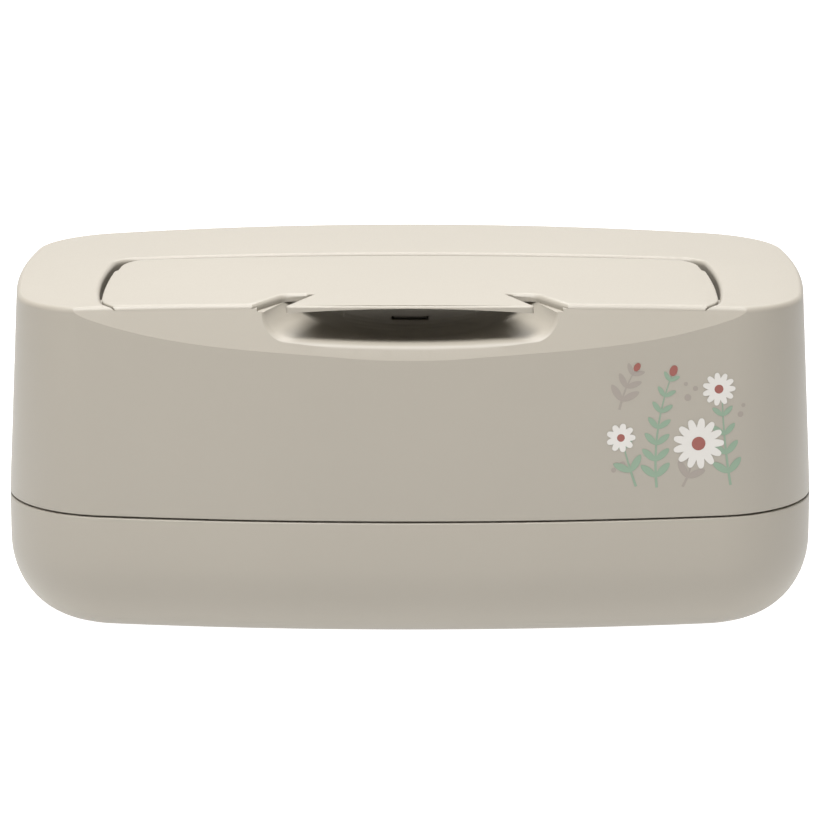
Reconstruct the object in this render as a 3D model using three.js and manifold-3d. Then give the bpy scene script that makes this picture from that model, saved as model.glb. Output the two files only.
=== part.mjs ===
// A wet wipes box for a changing table, in millimetres, +Z up, front towards -Y.
// A moulded base and cover meet at a seam. A flap with a dovetail tab hinges on two pins in a well in
// the cover, over a sealed opening, and a weighted plate inside keeps the wipes down.
// The origin is on the table, under the middle of the box.
import * as THREE from "three";
import { mergeVertices } from "three/addons/utils/BufferGeometryUtils.js";
import Module from "manifold-3d";

const wasm = await Module();
wasm.setup();

// Outer form
const boxWidth = 240; // at the seam
const boxDepth = 134; // at the seam
const boxHeight = 102; // table to the crown of the top
const seamHeight = 38.7; // table to the middle of the seam
const seamGap = 0.5; // open seam between base and cover
const faceBulgeRadius = 620; // front and back faces, seen from above
const endBulgeRadius = 290; // end faces, seen from above
const seamCornerRadius = 34; // upright corners at the seam
const topCornerRadius = 26; // upright corners at the top
const coverLean = 3.2; // how far each side of the cover leans in towards the top
const crownAcross = 2.6; // how far the top falls from its middle to each end
const crownAlong = 1.0; // how far the top falls from its middle to the front and back
const topEdgeRadius = 1.6; // round along the top edge
const seamEdgeRadius = 0.5; // chamfer on both edges of the seam
const bottomRoundWidth = 21; // round under the base, measured across
const bottomRoundHeight = 24; // round under the base, measured up
const wall = 2.4; // base and cover
const fit = 0.3; // clearance between pieces that seat on each other
const overrun = 8; // how far a cut runs past what it cuts

// Facet along the top of the front face
const facetSetback = 6.6; // how far it sets the top edge back in the middle
const facetLean = THREE.MathUtils.degToRad(26.5); // from upright

// Rim of the base that the cover slips over
const rimHeight = 5.6; // above the seam
const rimWall = 2.2;
const rimRoot = 3.4; // height of each step of the taper that carries the rim
const rimSealDepth = 1.3; // groove for the seal
const rimSealHeight = 1.7;
const rimSealRise = 2.0; // seam to the bottom of the seal

// Feet and the floor ribs of the base
const footRadius = 7.5;
const footHeight = 2.3;
const footProud = 1.2; // how far a foot stands out of the base
const footEdge = 0.6; // chamfer round the sole
const footSpacingX = 150;
const footSpacingY = 52;
const ribLength = 120;
const ribWidth = 1.8;
const ribHeight = 1.0;
const ribSpacing = 18;
const ribCount = 4;

// Flap
const flapLength = 68; // facet's top edge to the flap's rear edge
const flapWidth = 178.4;
const flapSideRadius = 330; // of the bowed sides
const flapWidest = 21.2; // facet's top edge to the widest place
const flapFrontCorner = 15.7; // cut off by the front edge
const flapFrontCornerSetback = 12.2; // facet's top edge to the middle of that corner
const flapRearCorner = 12;
const flapStep = 0.8; // how far each side steps in ahead of the hinge
const flapStepSetback = 48.7; // facet's top edge to the step
const flapThickness = 2.2;
const flapLipThickness = 1.1; // where the flap laps the facet's top edge
const flapLipWidth = 3;
const flapEdgeChamfer = 0.5;
const flapFrontProud = 0.2; // past the facet's top edge
const flapCurlWall = 1.5; // of the rear edge, which curls round the hinge line

// Tab and the finger recess under it
const tabRootWidth = 54.8;
const tabFrontWidth = 72.4;
const tabRootSetback = 12.1; // root of the tab to the facet's top edge
const tabReach = 3.8; // past the facet's top edge
const tabCorner = 1.2;
const tabRootRadius = 0.4;
const tabArch = 1.45; // how much thinner the tab is in the middle of its front edge
const tabArchRadius = 450; // of its underside, seen from the front
const tabArchShare = 0.4; // of the way from the tab's root to its front edge, where the arch is full
const notchBendWidth = 72.8; // between the bends of the two notches
const notchBendSetback = 11.6; // facet's top edge to those bends
const notchBendRadius = 3;
const notchFlare = 1.4; // recess to the notch's mouth, on each side
const notchCorner = 4;
const recessWidth = 84; // along the facet, inside the flared lip
const recessBackWidth = 72.6; // along the catch wall
const recessDepth = 18.2; // facet's top edge to the catch wall
const recessSill = 11.5; // crown to the sill at the facet, inside the flared lip
const recessHeight = 14.2; // crown to the floor at the catch wall
const recessBow = 1.2; // how far its floor rises towards the ends
const recessCorner = 7.5; // floor to end walls
const recessBackRadius = 5; // floor and ends to catch wall
const recessLip = 1.8; // flared lip on the facet

// Catch wall behind the recess, and the hook that snaps behind it
const catchWall = 1.6;
const catchSlotWidth = 10.8;
const catchSlotHeight = 1.3;
const catchSlotDrop = 9.2; // crown to the middle of the slot
const catchRibSpacing = 38.4; // between the two upright ribs on the wall
const catchRib = 0.6; // width of a rib, and how far it stands forward
const catchRibDrop = 3.4; // crown to the top of the ribs
const hookWidth = 9.6;
const hookThickness = 1.4;
const hookNib = 1.0; // how far the nib stands forward of the hook
const hookNibHeight = 0.8;
const hookPlay = 0.4; // nib to catch wall

// Well, opening and lip under the flap
const wellWidth = 181.4;
const wellSideRadius = 200; // bowed more than the flap's, so that a finger gap opens towards the rear
const wellWidest = 34.2; // facet's top edge to the widest place
const wellFrontGap = 0.4; // round the flap's front corners
const wellRearGap = 1.0; // behind the flap
const wellRearCorner = 7;
const wellRimChamfer = 0.5;
const wellDepth = 10.6; // crown to the floor of the well
const openingWidth = 150;
const openingLength = 26;
const openingCorner = 9;
const openingSetback = 8.5; // catch wall to the opening
const lipHeight = 2.6;
const lipWall = 1.6;

// Hinge
const hingeDrop = 4; // crown to the hinge line
const hingeSpacing = 90; // between the middles of the two lugs
const hingePinRadius = 1.1;
const running = 0.08; // clearance round a pin that turns
const hingePinLength = 12;
const hingeLugWidth = 3.2;
const hingeLugRadius = 2.2;
const hingeEarWidth = 3.4;
const hingeStemRear = 1.2; // hinge line to the back of a lug's stem
const hingeNotchRise = 2.2; // hinge line to the top of the notch over a lug

// Liner and seal under the flap
const linerThickness = 1.2;
const linerDrop = 3.9; // crown to the top of the liner
const linerMargin = 2; // liner past the outside of the seal
const linerRidgeHeight = 1.2; // ridge that guides the seal
const linerRidge = 1.0; // width of the ridge
const flapSealWidth = 3.2;
const postRadius = 2;
const postBossRadius = 3.4;
const postHeadRadius = 3.4;
const postHeadHeight = 0.9;
const postSpacingX = 116;
const postSpacingY = 15;

// Weighted plate
const plateMargin = 22; // seam outline to the plate, all round
const plateThickness = 5;
const plateCorner = 24;
const plateEdge = 1.2; // chamfer round the top
const plateSlotWidth = 84;
const plateSlotDepth = 26;
const plateSlotCorner = 12;
const plateCollar = 1.6; // ridge round the slot, across and up
const barWidth = 22;
const barHeight = 3;
const barCorner = 2;
const barMargin = 11; // plate's front and back edges to the ends of a bar
const barInset = 17; // plate's ends to a bar

// Facets of each round stretch
const cornerSteps = 7;
const faceSteps = 12;
const endSteps = 4;
const filletSteps = 4;
const bottomSteps = 5;
const crownSteps = 4;
const pinSteps = 16;
const curlSteps = 20;
const rearColumns = 4;
const sideSteps = 4;

// Heights and places that follow
const baseBottom = footProud;
const baseTop = seamHeight - seamGap / 2;
const coverBottom = seamHeight + seamGap / 2;
const floorTop = baseBottom + wall;
const leanHeight = boxHeight - seamHeight;
const topHalfWidth = boxWidth / 2 - coverLean;
const topHalfDepth = boxDepth / 2 - coverLean;
const facetEdgeY = facetSetback - topHalfDepth;
const facetSlope = Math.tan(facetLean);
const flapFrontY = facetEdgeY - flapFrontProud;
const flapCornerY = facetEdgeY + flapFrontCornerSetback;
const flapRearY = facetEdgeY + flapLength;
const tabRootY = facetEdgeY + tabRootSetback;
const tabFrontY = facetEdgeY - tabReach;
const recessBackY = facetEdgeY + recessDepth;
const underWell = boxHeight - 2 * wellDepth;
const wellFrontY = recessBackY + catchWall;
const wellFloor = boxHeight - wellDepth;
const openingFrontY = wellFrontY + openingSetback;
const openingRearY = openingFrontY + openingLength;
const openingMiddleY = (openingFrontY + openingRearY) / 2;
const lipTop = wellFloor + lipHeight;
const hingeY = flapRearY - hingeDrop;
const hingeZ = boxHeight - hingeDrop;
const linerTop = boxHeight - linerDrop;
const linerBottom = linerTop - linerThickness;
const sealBottom = lipTop + fit;
const sealTop = linerBottom - fit;
const rimInset = wall + fit + (coverLean * rimHeight) / leanHeight;
const plateBottom = floorTop + ribHeight + fit;
const plateWidth = boxWidth - 2 * plateMargin;
const plateDepth = boxDepth - 2 * plateMargin;
const barLength = plateDepth - 2 * barMargin;
const barSpacing = plateWidth - barWidth - 2 * barInset;
const skyHeight = boxHeight + overrun;

// Colours
const shellColour = 0xd8cfc2;
const innerColour = 0xe2dacd;
const sealColour = 0xb9b3a8;
const footColour = 0x9c958a;
const steelColour = 0xb4b6b8;

/** Height of the crowned top surface over a point in plan. */
function crownHeight(x, y) {
  const across = crownAcross * (x / topHalfWidth) ** 2;
  const along = crownAlong * (y / topHalfDepth) ** 2;
  return boxHeight - across - along;
}

/** Front of the facet at a height. */
function facetY(z) {
  return facetEdgeY - facetSlope * (boxHeight - z);
}

/** A geometry as a solid, turned the right way out. */
function solid(geometry) {
  const bare = geometry.index ? geometry.toNonIndexed() : geometry.clone();
  bare.deleteAttribute("normal");
  bare.deleteAttribute("uv");
  const merged = mergeVertices(bare);
  const vertProperties = new Float32Array(merged.attributes.position.array);
  const triVerts = new Uint32Array(merged.index.array);
  const made = new wasm.Manifold(new wasm.Mesh({ numProp: 3, vertProperties, triVerts }));
  if (made.volume() >= 0) return made;
  return new wasm.Manifold(new wasm.Mesh({ numProp: 3, vertProperties, triVerts: triVerts.reverse() }));
}

/** A solid as a named mesh of one colour. */
function piece(name, made, colour, roughness, metalness = 0) {
  const { vertProperties, triVerts, numProp } = made.getMesh();
  const geometry = new THREE.BufferGeometry();
  const vertices = new THREE.InterleavedBuffer(vertProperties, numProp);
  geometry.setAttribute("position", new THREE.InterleavedBufferAttribute(vertices, 3, 0));
  geometry.setIndex(new THREE.BufferAttribute(triVerts, 1));
  const flat = geometry.toNonIndexed();
  flat.computeVertexNormals();
  const mesh = new THREE.Mesh(flat, new THREE.MeshStandardMaterial({ color: colour, roughness, metalness }));
  mesh.name = name;
  return mesh;
}

/** A closed surface over rings of equal counts, with both end rings filled in. */
function loft(listed, flatten = (point) => new THREE.Vector2(point.x, point.y)) {
  const turned = THREE.ShapeUtils.isClockWise(listed[0].map(flatten));
  const rings = turned ? listed.map((points) => [...points].reverse()) : listed;
  const count = rings[0].length;
  const index = [];
  for (let r = 0; r + 1 < rings.length; r++) {
    for (let i = 0; i < count; i++) {
      const here = r * count + i;
      const next = r * count + ((i + 1) % count);
      index.push(here, next, next + count, here, next + count, here + count);
    }
  }
  const last = (rings.length - 1) * count;
  for (const [a, b, c] of THREE.ShapeUtils.triangulateShape(rings[0].map(flatten), [])) index.push(a, c, b);
  for (const [a, b, c] of THREE.ShapeUtils.triangulateShape(rings.at(-1).map(flatten), [])) {
    index.push(last + a, last + b, last + c);
  }
  const geometry = new THREE.BufferGeometry().setFromPoints(rings.flat());
  geometry.setIndex(index);
  return solid(geometry);
}

/** Points along an arc, both ends included. */
function arc(centreX, centreY, radius, from, to, steps) {
  return Array.from({ length: steps + 1 }, (_, i) => {
    const angle = from + ((to - from) * i) / steps;
    return new THREE.Vector2(centreX + radius * Math.cos(angle), centreY + radius * Math.sin(angle));
  });
}

/**
 * Plan of the box: four wide arcs joined by corner arcs, counter-clockwise from the middle of the right end.
 * inset is the parallel distance inside the seam outline, and lean runs from 0 at the seam to 1 at the top.
 */
function boxOutline(inset, lean) {
  const halfWidth = boxWidth / 2 - inset - lean * coverLean;
  const halfDepth = boxDepth / 2 - inset - lean * coverLean;
  const corner = THREE.MathUtils.lerp(seamCornerRadius, topCornerRadius, lean) - inset;
  const face = faceBulgeRadius - inset;
  const end = endBulgeRadius - inset;
  const faceCentre = new THREE.Vector2(0, halfDepth - face);
  const endCentre = new THREE.Vector2(halfWidth - end, 0);
  // The corner's centre lies where it touches both wide arcs from inside.
  const between = endCentre.clone().sub(faceCentre);
  const apart = between.length();
  const along = ((face - corner) ** 2 - (end - corner) ** 2 + apart ** 2) / (2 * apart);
  const aside = Math.sqrt((face - corner) ** 2 - along ** 2);
  const unit = between.divideScalar(apart);
  const centre = faceCentre.clone().addScaledVector(unit, along);
  centre.add(new THREE.Vector2(unit.y, -unit.x).multiplyScalar(aside));
  const endAngle = Math.atan2(centre.y - endCentre.y, centre.x - endCentre.x);
  const faceAngle = Math.atan2(centre.y - faceCentre.y, centre.x - faceCentre.x);
  const quarter = [
    ...arc(endCentre.x, endCentre.y, end, 0, endAngle, endSteps / 2),
    ...arc(centre.x, centre.y, corner, endAngle, faceAngle, cornerSteps).slice(1),
    ...arc(faceCentre.x, faceCentre.y, face, faceAngle, Math.PI / 2, faceSteps / 2).slice(1),
  ];
  const left = quarter.slice(0, -1).reverse().map((p) => new THREE.Vector2(-p.x, p.y));
  const back = [...quarter, ...left];
  const front = back.slice(1, -1).reverse().map((p) => new THREE.Vector2(p.x, -p.y));
  return [...back, ...front];
}

/** An outline lifted to a height, which can differ from point to point. */
function ring(outline, height) {
  const heightAt = typeof height === "function" ? height : () => height;
  return outline.map((p) => new THREE.Vector3(p.x, p.y, heightAt(p.x, p.y)));
}

/** A closed outline with a round at each [x, y, radius] corner. */
function roundedOutline(corners, steps = filletSteps) {
  const outline = [];
  corners.forEach(([x, y, radius], i) => {
    const corner = new THREE.Vector2(x, y);
    const [beforeX, beforeY] = corners.at(i - 1);
    const [afterX, afterY] = corners[(i + 1) % corners.length];
    const back = new THREE.Vector2(beforeX, beforeY).sub(corner).normalize();
    const on = new THREE.Vector2(afterX, afterY).sub(corner).normalize();
    const half = Math.acos(THREE.MathUtils.clamp(back.dot(on), -1, 1)) / 2;
    if (radius === 0) {
      outline.push(corner);
      return;
    }
    const centre = corner.clone().addScaledVector(back.clone().add(on).normalize(), radius / Math.sin(half));
    const start = corner.clone().addScaledVector(back, radius / Math.tan(half)).sub(centre);
    const turn = (Math.PI - 2 * half) * Math.sign(on.cross(back));
    const from = start.angle();
    outline.push(...arc(centre.x, centre.y, radius, from, from + turn, steps));
  });
  return outline;
}

/** The corners of a symmetrical outline, from those of its right side, listed from front to back. */
function mirrored(rightSide) {
  return [...rightSide, ...rightSide.map(([x, y, radius]) => [-x, y, radius]).reverse()];
}

/** A rounded rectangle about a centre on the Y axis. */
function roundedBar(width, frontY, backY, radius) {
  return roundedOutline(mirrored([[width / 2, frontY, radius], [width / 2, backY, radius]]));
}

/** An outline moved outwards by a distance, or inwards by a negative one. */
function offsetOutline(outline, distance) {
  return outline.map((p, i) => {
    const before = outline.at(i - 1);
    const after = outline[(i + 1) % outline.length];
    const one = p.clone().sub(before).normalize();
    const two = after.clone().sub(p).normalize();
    const outward = new THREE.Vector2(one.y + two.y, -one.x - two.x).normalize();
    const spread = Math.max(outward.dot(new THREE.Vector2(one.y, -one.x)), Math.SQRT1_2);
    return p.clone().addScaledVector(outward, distance / spread);
  });
}

/** An outline in plan, raised from one height to another. */
function raise(outline, from, to) {
  const options = { depth: to - from, bevelEnabled: false };
  return solid(new THREE.ExtrudeGeometry(new THREE.Shape(outline), options).translate(0, 0, from));
}

/** A block between two corners. */
function block(x0, y0, z0, x1, y1, z1) {
  const geometry = new THREE.BoxGeometry(x1 - x0, y1 - y0, z1 - z0);
  return solid(geometry.translate((x0 + x1) / 2, (y0 + y1) / 2, (z0 + z1) / 2));
}

/** A bar along X whose radius follows a function of x. */
function spindle(halfLength, radiusOf, steps, y, z) {
  const stations = 8;
  const profile = [new THREE.Vector2(0, -halfLength)];
  for (let i = 0; i <= stations; i++) {
    const x = halfLength * ((2 * i) / stations - 1);
    profile.push(new THREE.Vector2(radiusOf(x), x));
  }
  profile.push(new THREE.Vector2(0, halfLength));
  const geometry = new THREE.LatheGeometry(profile, steps).rotateZ(-Math.PI / 2);
  return solid(geometry.translate(0, y, z));
}

/** A round bar along X between two places. */
function roundBar(x0, x1, radius, y, z, steps = pinSteps) {
  const geometry = new THREE.CylinderGeometry(radius, radius, Math.abs(x1 - x0), steps).rotateZ(Math.PI / 2);
  return solid(geometry.translate((x0 + x1) / 2, y, z));
}

/** A round upright between two heights, with a chamfer at either end. */
function upright(x, y, radius, from, to, chamferFrom = 0, chamferTo = 0, steps = pinSteps) {
  const profile = [new THREE.Vector2(0, from), new THREE.Vector2(radius - chamferFrom, from)];
  if (chamferFrom > 0) profile.push(new THREE.Vector2(radius, from + chamferFrom));
  if (chamferTo > 0) profile.push(new THREE.Vector2(radius, to - chamferTo));
  profile.push(new THREE.Vector2(radius - chamferTo, to), new THREE.Vector2(0, to));
  return solid(new THREE.LatheGeometry(profile, steps).rotateX(Math.PI / 2).translate(x, y, 0));
}

/** What lies in front of the facet, or of a plane that many millimetres behind it. */
function aheadOfFacet(behind) {
  const size = boxWidth;
  const geometry = new THREE.BoxGeometry(size + 2 * overrun, size, size);
  geometry.translate(0, 0, size / 2 - behind).rotateX(Math.PI / 2 - facetLean);
  return solid(geometry.translate(0, facetEdgeY, boxHeight));
}

/** The base: one wall section carried round the plan, from the sole over the rim to the floor. */
function baseTub() {
  const roundRing = (thickness, step) => {
    const angle = (Math.PI / 2) * (step / bottomSteps);
    const inset = bottomRoundWidth - (bottomRoundWidth - thickness) * Math.sin(angle);
    const drop = (bottomRoundHeight - thickness) * Math.cos(angle);
    return ring(boxOutline(inset, 0), baseBottom + bottomRoundHeight - drop);
  };
  const steps = Array.from({ length: bottomSteps + 1 }, (_, i) => i);
  const rimInner = rimInset + rimWall;
  const grooveBottom = seamHeight + rimSealRise - fit;
  const grooveTop = seamHeight + rimSealRise + rimSealHeight + fit;
  const rimTop = seamHeight + rimHeight;
  const section = [
    [0, baseTop - seamEdgeRadius],
    [seamEdgeRadius, baseTop],
    [rimInset, baseTop],
    [rimInset, grooveBottom],
    [rimInset + rimSealDepth, grooveBottom],
    [rimInset + rimSealDepth, grooveTop],
    [rimInset, grooveTop],
    [rimInset, rimTop - seamEdgeRadius],
    [rimInset + seamEdgeRadius, rimTop],
    [rimInner, rimTop],
    [rimInner, baseTop - rimRoot],
    [wall, baseTop - 2 * rimRoot],
  ];
  let tub = loft([
    ...steps.map((step) => roundRing(0, step)),
    ...section.map(([inset, height]) => ring(boxOutline(inset, 0), height)),
    ...steps.map((step) => roundRing(wall, step)).reverse(),
  ]);
  for (let i = 0; i < ribCount; i++) {
    const y = (i - (ribCount - 1) / 2) * ribSpacing;
    const [front, back] = [y - ribWidth / 2, y + ribWidth / 2];
    const from = floorTop - wall / 2;
    tub = tub.add(block(-ribLength / 2, front, from, ribLength / 2, back, floorTop + ribHeight));
  }
  for (const [, x, y] of footPlaces()) {
    tub = tub.subtract(upright(x, y, footRadius + fit, baseBottom - overrun, footHeight + fit));
  }
  return tub;
}

/** Name and place of each foot. */
function footPlaces() {
  const places = [];
  for (const [row, y] of [["front", -footSpacingY / 2], ["rear", footSpacingY / 2]]) {
    for (const [side, x] of [["left", -footSpacingX / 2], ["right", footSpacingX / 2]]) {
      places.push([`foot_${row}_${side}`, x, y]);
    }
  }
  return places;
}

/** A soft foot, seated in its pocket. */
function foot(x, y) {
  return upright(x, y, footRadius, 0, footHeight, footEdge, 0);
}

/** The seal in the groove of the rim. */
function rimSeal() {
  const outer = boxOutline(rimInset, 0);
  const inner = boxOutline(rimInset + rimSealDepth - fit, 0);
  const bottom = seamHeight + rimSealRise;
  const top = bottom + rimSealHeight;
  return loft([ring(outer, bottom), ring(outer, top)]).subtract(
    loft([ring(inner, bottom - overrun), ring(inner, top + overrun)]),
  );
}

/** The cover's solid form at a depth under its outer surface: leaning sides, rounded edge, crowned top. */
function coverForm(depth, bottom) {
  const leanAt = (height) => (height - seamHeight) / leanHeight;
  const rings = [];
  if (depth === 0) {
    rings.push(ring(boxOutline(seamEdgeRadius, 0), bottom));
    rings.push(ring(boxOutline(0, leanAt(bottom + seamEdgeRadius)), bottom + seamEdgeRadius));
  } else {
    rings.push(ring(boxOutline(depth, leanAt(bottom)), bottom));
  }
  for (let i = 0; i <= filletSteps; i++) {
    const angle = (Math.PI / 2) * (i / filletSteps);
    const inset = depth + topEdgeRadius * (1 - Math.cos(angle));
    const drop = depth + topEdgeRadius * (1 - Math.sin(angle));
    rings.push(ring(boxOutline(inset, 1), (x, y) => crownHeight(x, y) - drop));
  }
  const edge = boxOutline(depth + topEdgeRadius, 1);
  for (let i = 1; i < crownSteps; i++) {
    const shrunk = edge.map((p) => p.clone().multiplyScalar(1 - i / crownSteps));
    rings.push(ring(shrunk, (x, y) => crownHeight(x, y) - depth));
  }
  return loft(rings);
}

/** Radius of the flap's curled rear edge at a place across the box. */
function curlRadius(x) {
  return crownHeight(x, hingeY) - hingeZ;
}

/**
 * Right side of a plan in the top surface, listed from front to back: a front corner that starts at frontY, a
 * wide arc, which can step in once, a rear corner and the rear edge, which follows the curl at a gap.
 */
function bowedSide({ halfWidth, radius, widestY, frontY, frontCorner, rearCorner, rearGap, step, stepY }) {
  const centre = new THREE.Vector2(halfWidth - radius, widestY);
  const cornerCentre = (y, reach) => {
    return new THREE.Vector2(centre.x + Math.sqrt(reach ** 2 - (y - widestY) ** 2), y);
  };
  const rearY = hingeY + curlRadius(halfWidth - rearCorner) + rearGap;
  const front = cornerCentre(flapCornerY, radius - frontCorner);
  const rear = cornerCentre(rearY - rearCorner, radius - step - rearCorner);
  const frontAngle = front.clone().sub(centre).angle() - 2 * Math.PI;
  const rearAngle = rear.clone().sub(centre).angle();
  const stepAngle = Math.asin((stepY - widestY) / radius);
  const cornerStart = Math.asin((frontY - front.y) / frontCorner);
  const points = [
    ...arc(front.x, front.y, frontCorner, cornerStart, frontAngle, filletSteps),
    ...arc(centre.x, centre.y, radius, frontAngle, stepAngle, sideSteps).slice(1),
    ...arc(centre.x, centre.y, radius - step, stepAngle + step / radius, rearAngle, sideSteps / 2),
    ...arc(rear.x, rear.y, rearCorner, rearAngle, Math.PI / 2, filletSteps).slice(1),
  ];
  for (let i = 1; i < rearColumns; i++) {
    const x = rear.x * (1 - i / rearColumns);
    points.push(new THREE.Vector2(x, hingeY + curlRadius(x) + rearGap));
  }
  return points.map(({ x, y }) => [x, y, 0]);
}

/** Plan of the flap with its tab and the two notches beside it. */
function flapPlan() {
  const side = bowedSide({
    halfWidth: flapWidth / 2,
    radius: flapSideRadius,
    widestY: facetEdgeY + flapWidest,
    frontY: flapFrontY,
    frontCorner: flapFrontCorner,
    rearCorner: flapRearCorner,
    rearGap: 0,
    step: flapStep,
    stepY: facetEdgeY + flapStepSetback,
  });
  return roundedOutline(
    mirrored([
      [tabFrontWidth / 2, tabFrontY, tabCorner],
      [tabRootWidth / 2, tabRootY, tabRootRadius],
      [notchBendWidth / 2, facetEdgeY + notchBendSetback, notchBendRadius],
      [recessWidth / 2 + recessLip + notchFlare, flapFrontY, notchCorner],
      ...side,
    ]),
  );
}

/** Plan of the well, whose front runs out through the facet. */
function wellPlan() {
  return roundedOutline(
    mirrored(
      bowedSide({
        halfWidth: wellWidth / 2,
        radius: wellSideRadius,
        widestY: facetEdgeY + wellWidest,
        frontY: flapFrontY - wellFrontGap,
        frontCorner: flapFrontCorner + wellFrontGap,
        rearCorner: wellRearCorner,
        rearGap: wellRearGap,
        step: 0,
        stepY: facetEdgeY + flapStepSetback,
      }),
    ),
  );
}

/** The finger recess, grown by a distance; it opens through the facet and the top. */
function recessForm(grow) {
  const stations = [[-overrun, recessLip + overrun]];
  for (let i = 0; i <= filletSteps; i++) {
    const angle = (Math.PI / 2) * (i / filletSteps);
    stations.push([recessLip * (1 - Math.cos(angle)), recessLip * (1 - Math.sin(angle))]);
  }
  for (let i = 0; i <= filletSteps; i++) {
    const angle = (Math.PI / 2) * (i / filletSteps);
    stations.push([
      recessDepth - recessBackRadius * (1 - Math.sin(angle)),
      -recessBackRadius * (1 - Math.cos(angle)),
    ]);
  }
  const rings = stations.map(([depth, spread]) => {
    const share = Math.max(depth, 0) / recessDepth;
    const halfWidth = THREE.MathUtils.lerp(recessWidth, recessBackWidth, share) / 2 + spread + grow;
    const floor = boxHeight - THREE.MathUtils.lerp(recessSill, recessHeight, share) - spread - grow;
    const corner = recessCorner + grow;
    const flat = halfWidth - corner;
    const section = [new THREE.Vector2(halfWidth, skyHeight)];
    section.push(...arc(flat, floor + recessBow + corner, corner, 0, -Math.PI / 2, cornerSteps));
    for (let i = 1; i < faceSteps; i++) {
      const x = flat * (1 - (2 * i) / faceSteps);
      section.push(new THREE.Vector2(x, floor + recessBow * (x / flat) ** 2));
    }
    section.push(...arc(-flat, floor + recessBow + corner, corner, -Math.PI / 2, -Math.PI, cornerSteps));
    section.push(new THREE.Vector2(-halfWidth, skyHeight));
    return section.map(({ x, y: z }) => {
      const front = facetY(Math.min(z, boxHeight)) + Math.min(depth, 0);
      return new THREE.Vector3(x, THREE.MathUtils.lerp(front, recessBackY + grow, share), z);
    });
  });
  return loft(rings, (p) => new THREE.Vector2(p.x, p.z));
}

/** What lies deeper than the flap, or by a clearance more: its lip is thin where it laps the facet's edge. */
function underFlap(clearance) {
  const form = coverForm(0, coverBottom);
  const lipFrom = recessWidth / 2 + recessLip;
  const lipTo = facetEdgeY + flapLipWidth - clearance;
  const lip = form.translate(0, 0, -flapLipThickness - clearance);
  let under = form.translate(0, 0, -flapThickness - clearance);
  for (const side of [-1, 1]) {
    const [from, to] = side < 0 ? [-boxWidth, -lipFrom] : [lipFrom, boxWidth];
    under = under.add(lip.intersect(block(from, -boxDepth, 0, to, lipTo, skyHeight)));
  }
  return under;
}

/** The room for the flap: a ledge under its front, and a deep well behind the catch wall. */
function wellForm(grow) {
  const plan = wellPlan();
  const over = raise(offsetOutline(plan, grow), underWell, skyHeight);
  const behind = block(-boxWidth, wellFrontY - grow, wellFloor - grow, boxWidth, boxDepth, skyHeight);
  const room = over.subtract(underFlap(fit).translate(0, 0, -grow)).add(over.intersect(behind));
  if (grow > 0) return room;
  const wide = offsetOutline(plan, wellRimChamfer);
  const rim = loft([
    ring(plan, (x, y) => crownHeight(x, y) - wellRimChamfer),
    ring(wide, crownHeight),
    ring(wide, skyHeight),
  ]);
  return room.add(rim);
}

/** A ring round the opening, centred on the lip and of a stated width. */
function openingRing(width, from, to) {
  const half = lipWall / 2;
  const [front, rear] = [openingFrontY - half, openingRearY + half];
  const middle = roundedBar(openingWidth + lipWall, front, rear, openingCorner + half);
  const hole = raise(offsetOutline(middle, -width / 2), from - overrun, to + overrun);
  return raise(offsetOutline(middle, width / 2), from, to).subtract(hole);
}

/** A lug that stands in the well and carries a hinge pin. */
function hingeLug(x) {
  const [from, to] = [x - hingeLugWidth / 2, x + hingeLugWidth / 2];
  const [front, rear] = [hingeY - hingeLugRadius, hingeY + hingeStemRear];
  return block(from, front, wellFloor - wall / 2, to, rear, hingeZ).add(
    roundBar(from, to, hingeLugRadius, hingeY, hingeZ),
  );
}

/** The cover. */
function coverShell() {
  const cavity = coverForm(wall, coverBottom - overrun)
    .subtract(aheadOfFacet(wall))
    .subtract(recessForm(catchWall))
    .subtract(wellForm(wall));
  const opening = roundedBar(openingWidth, openingFrontY, openingRearY, openingCorner);
  let cover = coverForm(0, coverBottom)
    .subtract(cavity)
    .subtract(aheadOfFacet(0))
    .subtract(recessForm(0))
    .subtract(wellForm(0))
    .subtract(raise(opening, underWell, skyHeight))
    .add(openingRing(lipWall, wellFloor - wall / 2, lipTop));
  for (const side of [-1, 1]) {
    const x = (side * catchRibSpacing) / 2;
    const [foot, top] = [boxHeight - catchSlotDrop, boxHeight - catchRibDrop];
    cover = cover
      .add(block(x - catchRib / 2, recessBackY - catchRib, foot, x + catchRib / 2, recessBackY + fit, top))
      .add(hingeLug((side * hingeSpacing) / 2));
  }
  const halfSlot = catchSlotWidth / 2;
  const slotFrom = boxHeight - catchSlotDrop - catchSlotHeight / 2;
  const slotTo = slotFrom + catchSlotHeight;
  return cover
    .subtract(block(-halfSlot, recessBackY - fit, slotFrom, halfSlot, wellFrontY + fit, slotTo))
    .subtract(hingePin(-hingeSpacing / 2, running, fit))
    .subtract(hingePin(hingeSpacing / 2, running, fit));
}

/** The flap's rear edge, curled round the hinge line, with ears for the pins and room for the lugs. */
function flapCurl() {
  const half = flapWidth / 2;
  const full = spindle(half, curlRadius, curlSteps, hingeY, hingeZ);
  const innerRadius = (x) => Math.max(curlRadius(x) - flapCurlWall, running);
  const hollow = spindle(half + overrun, innerRadius, curlSteps, hingeY, hingeZ);
  const openSide = block(-boxWidth, hingeY - boxDepth, 0, boxWidth, hingeY, boxHeight - linerDrop);
  let curl = full.subtract(hollow).subtract(openSide);
  const reach = hingeLugWidth / 2 + fit + hingeEarWidth;
  for (const side of [-1, 1]) {
    const x = (side * hingeSpacing) / 2;
    curl = curl.add(full.intersect(block(x - reach, -boxDepth, 0, x + reach, boxDepth, skyHeight)));
  }
  return curl;
}

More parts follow.
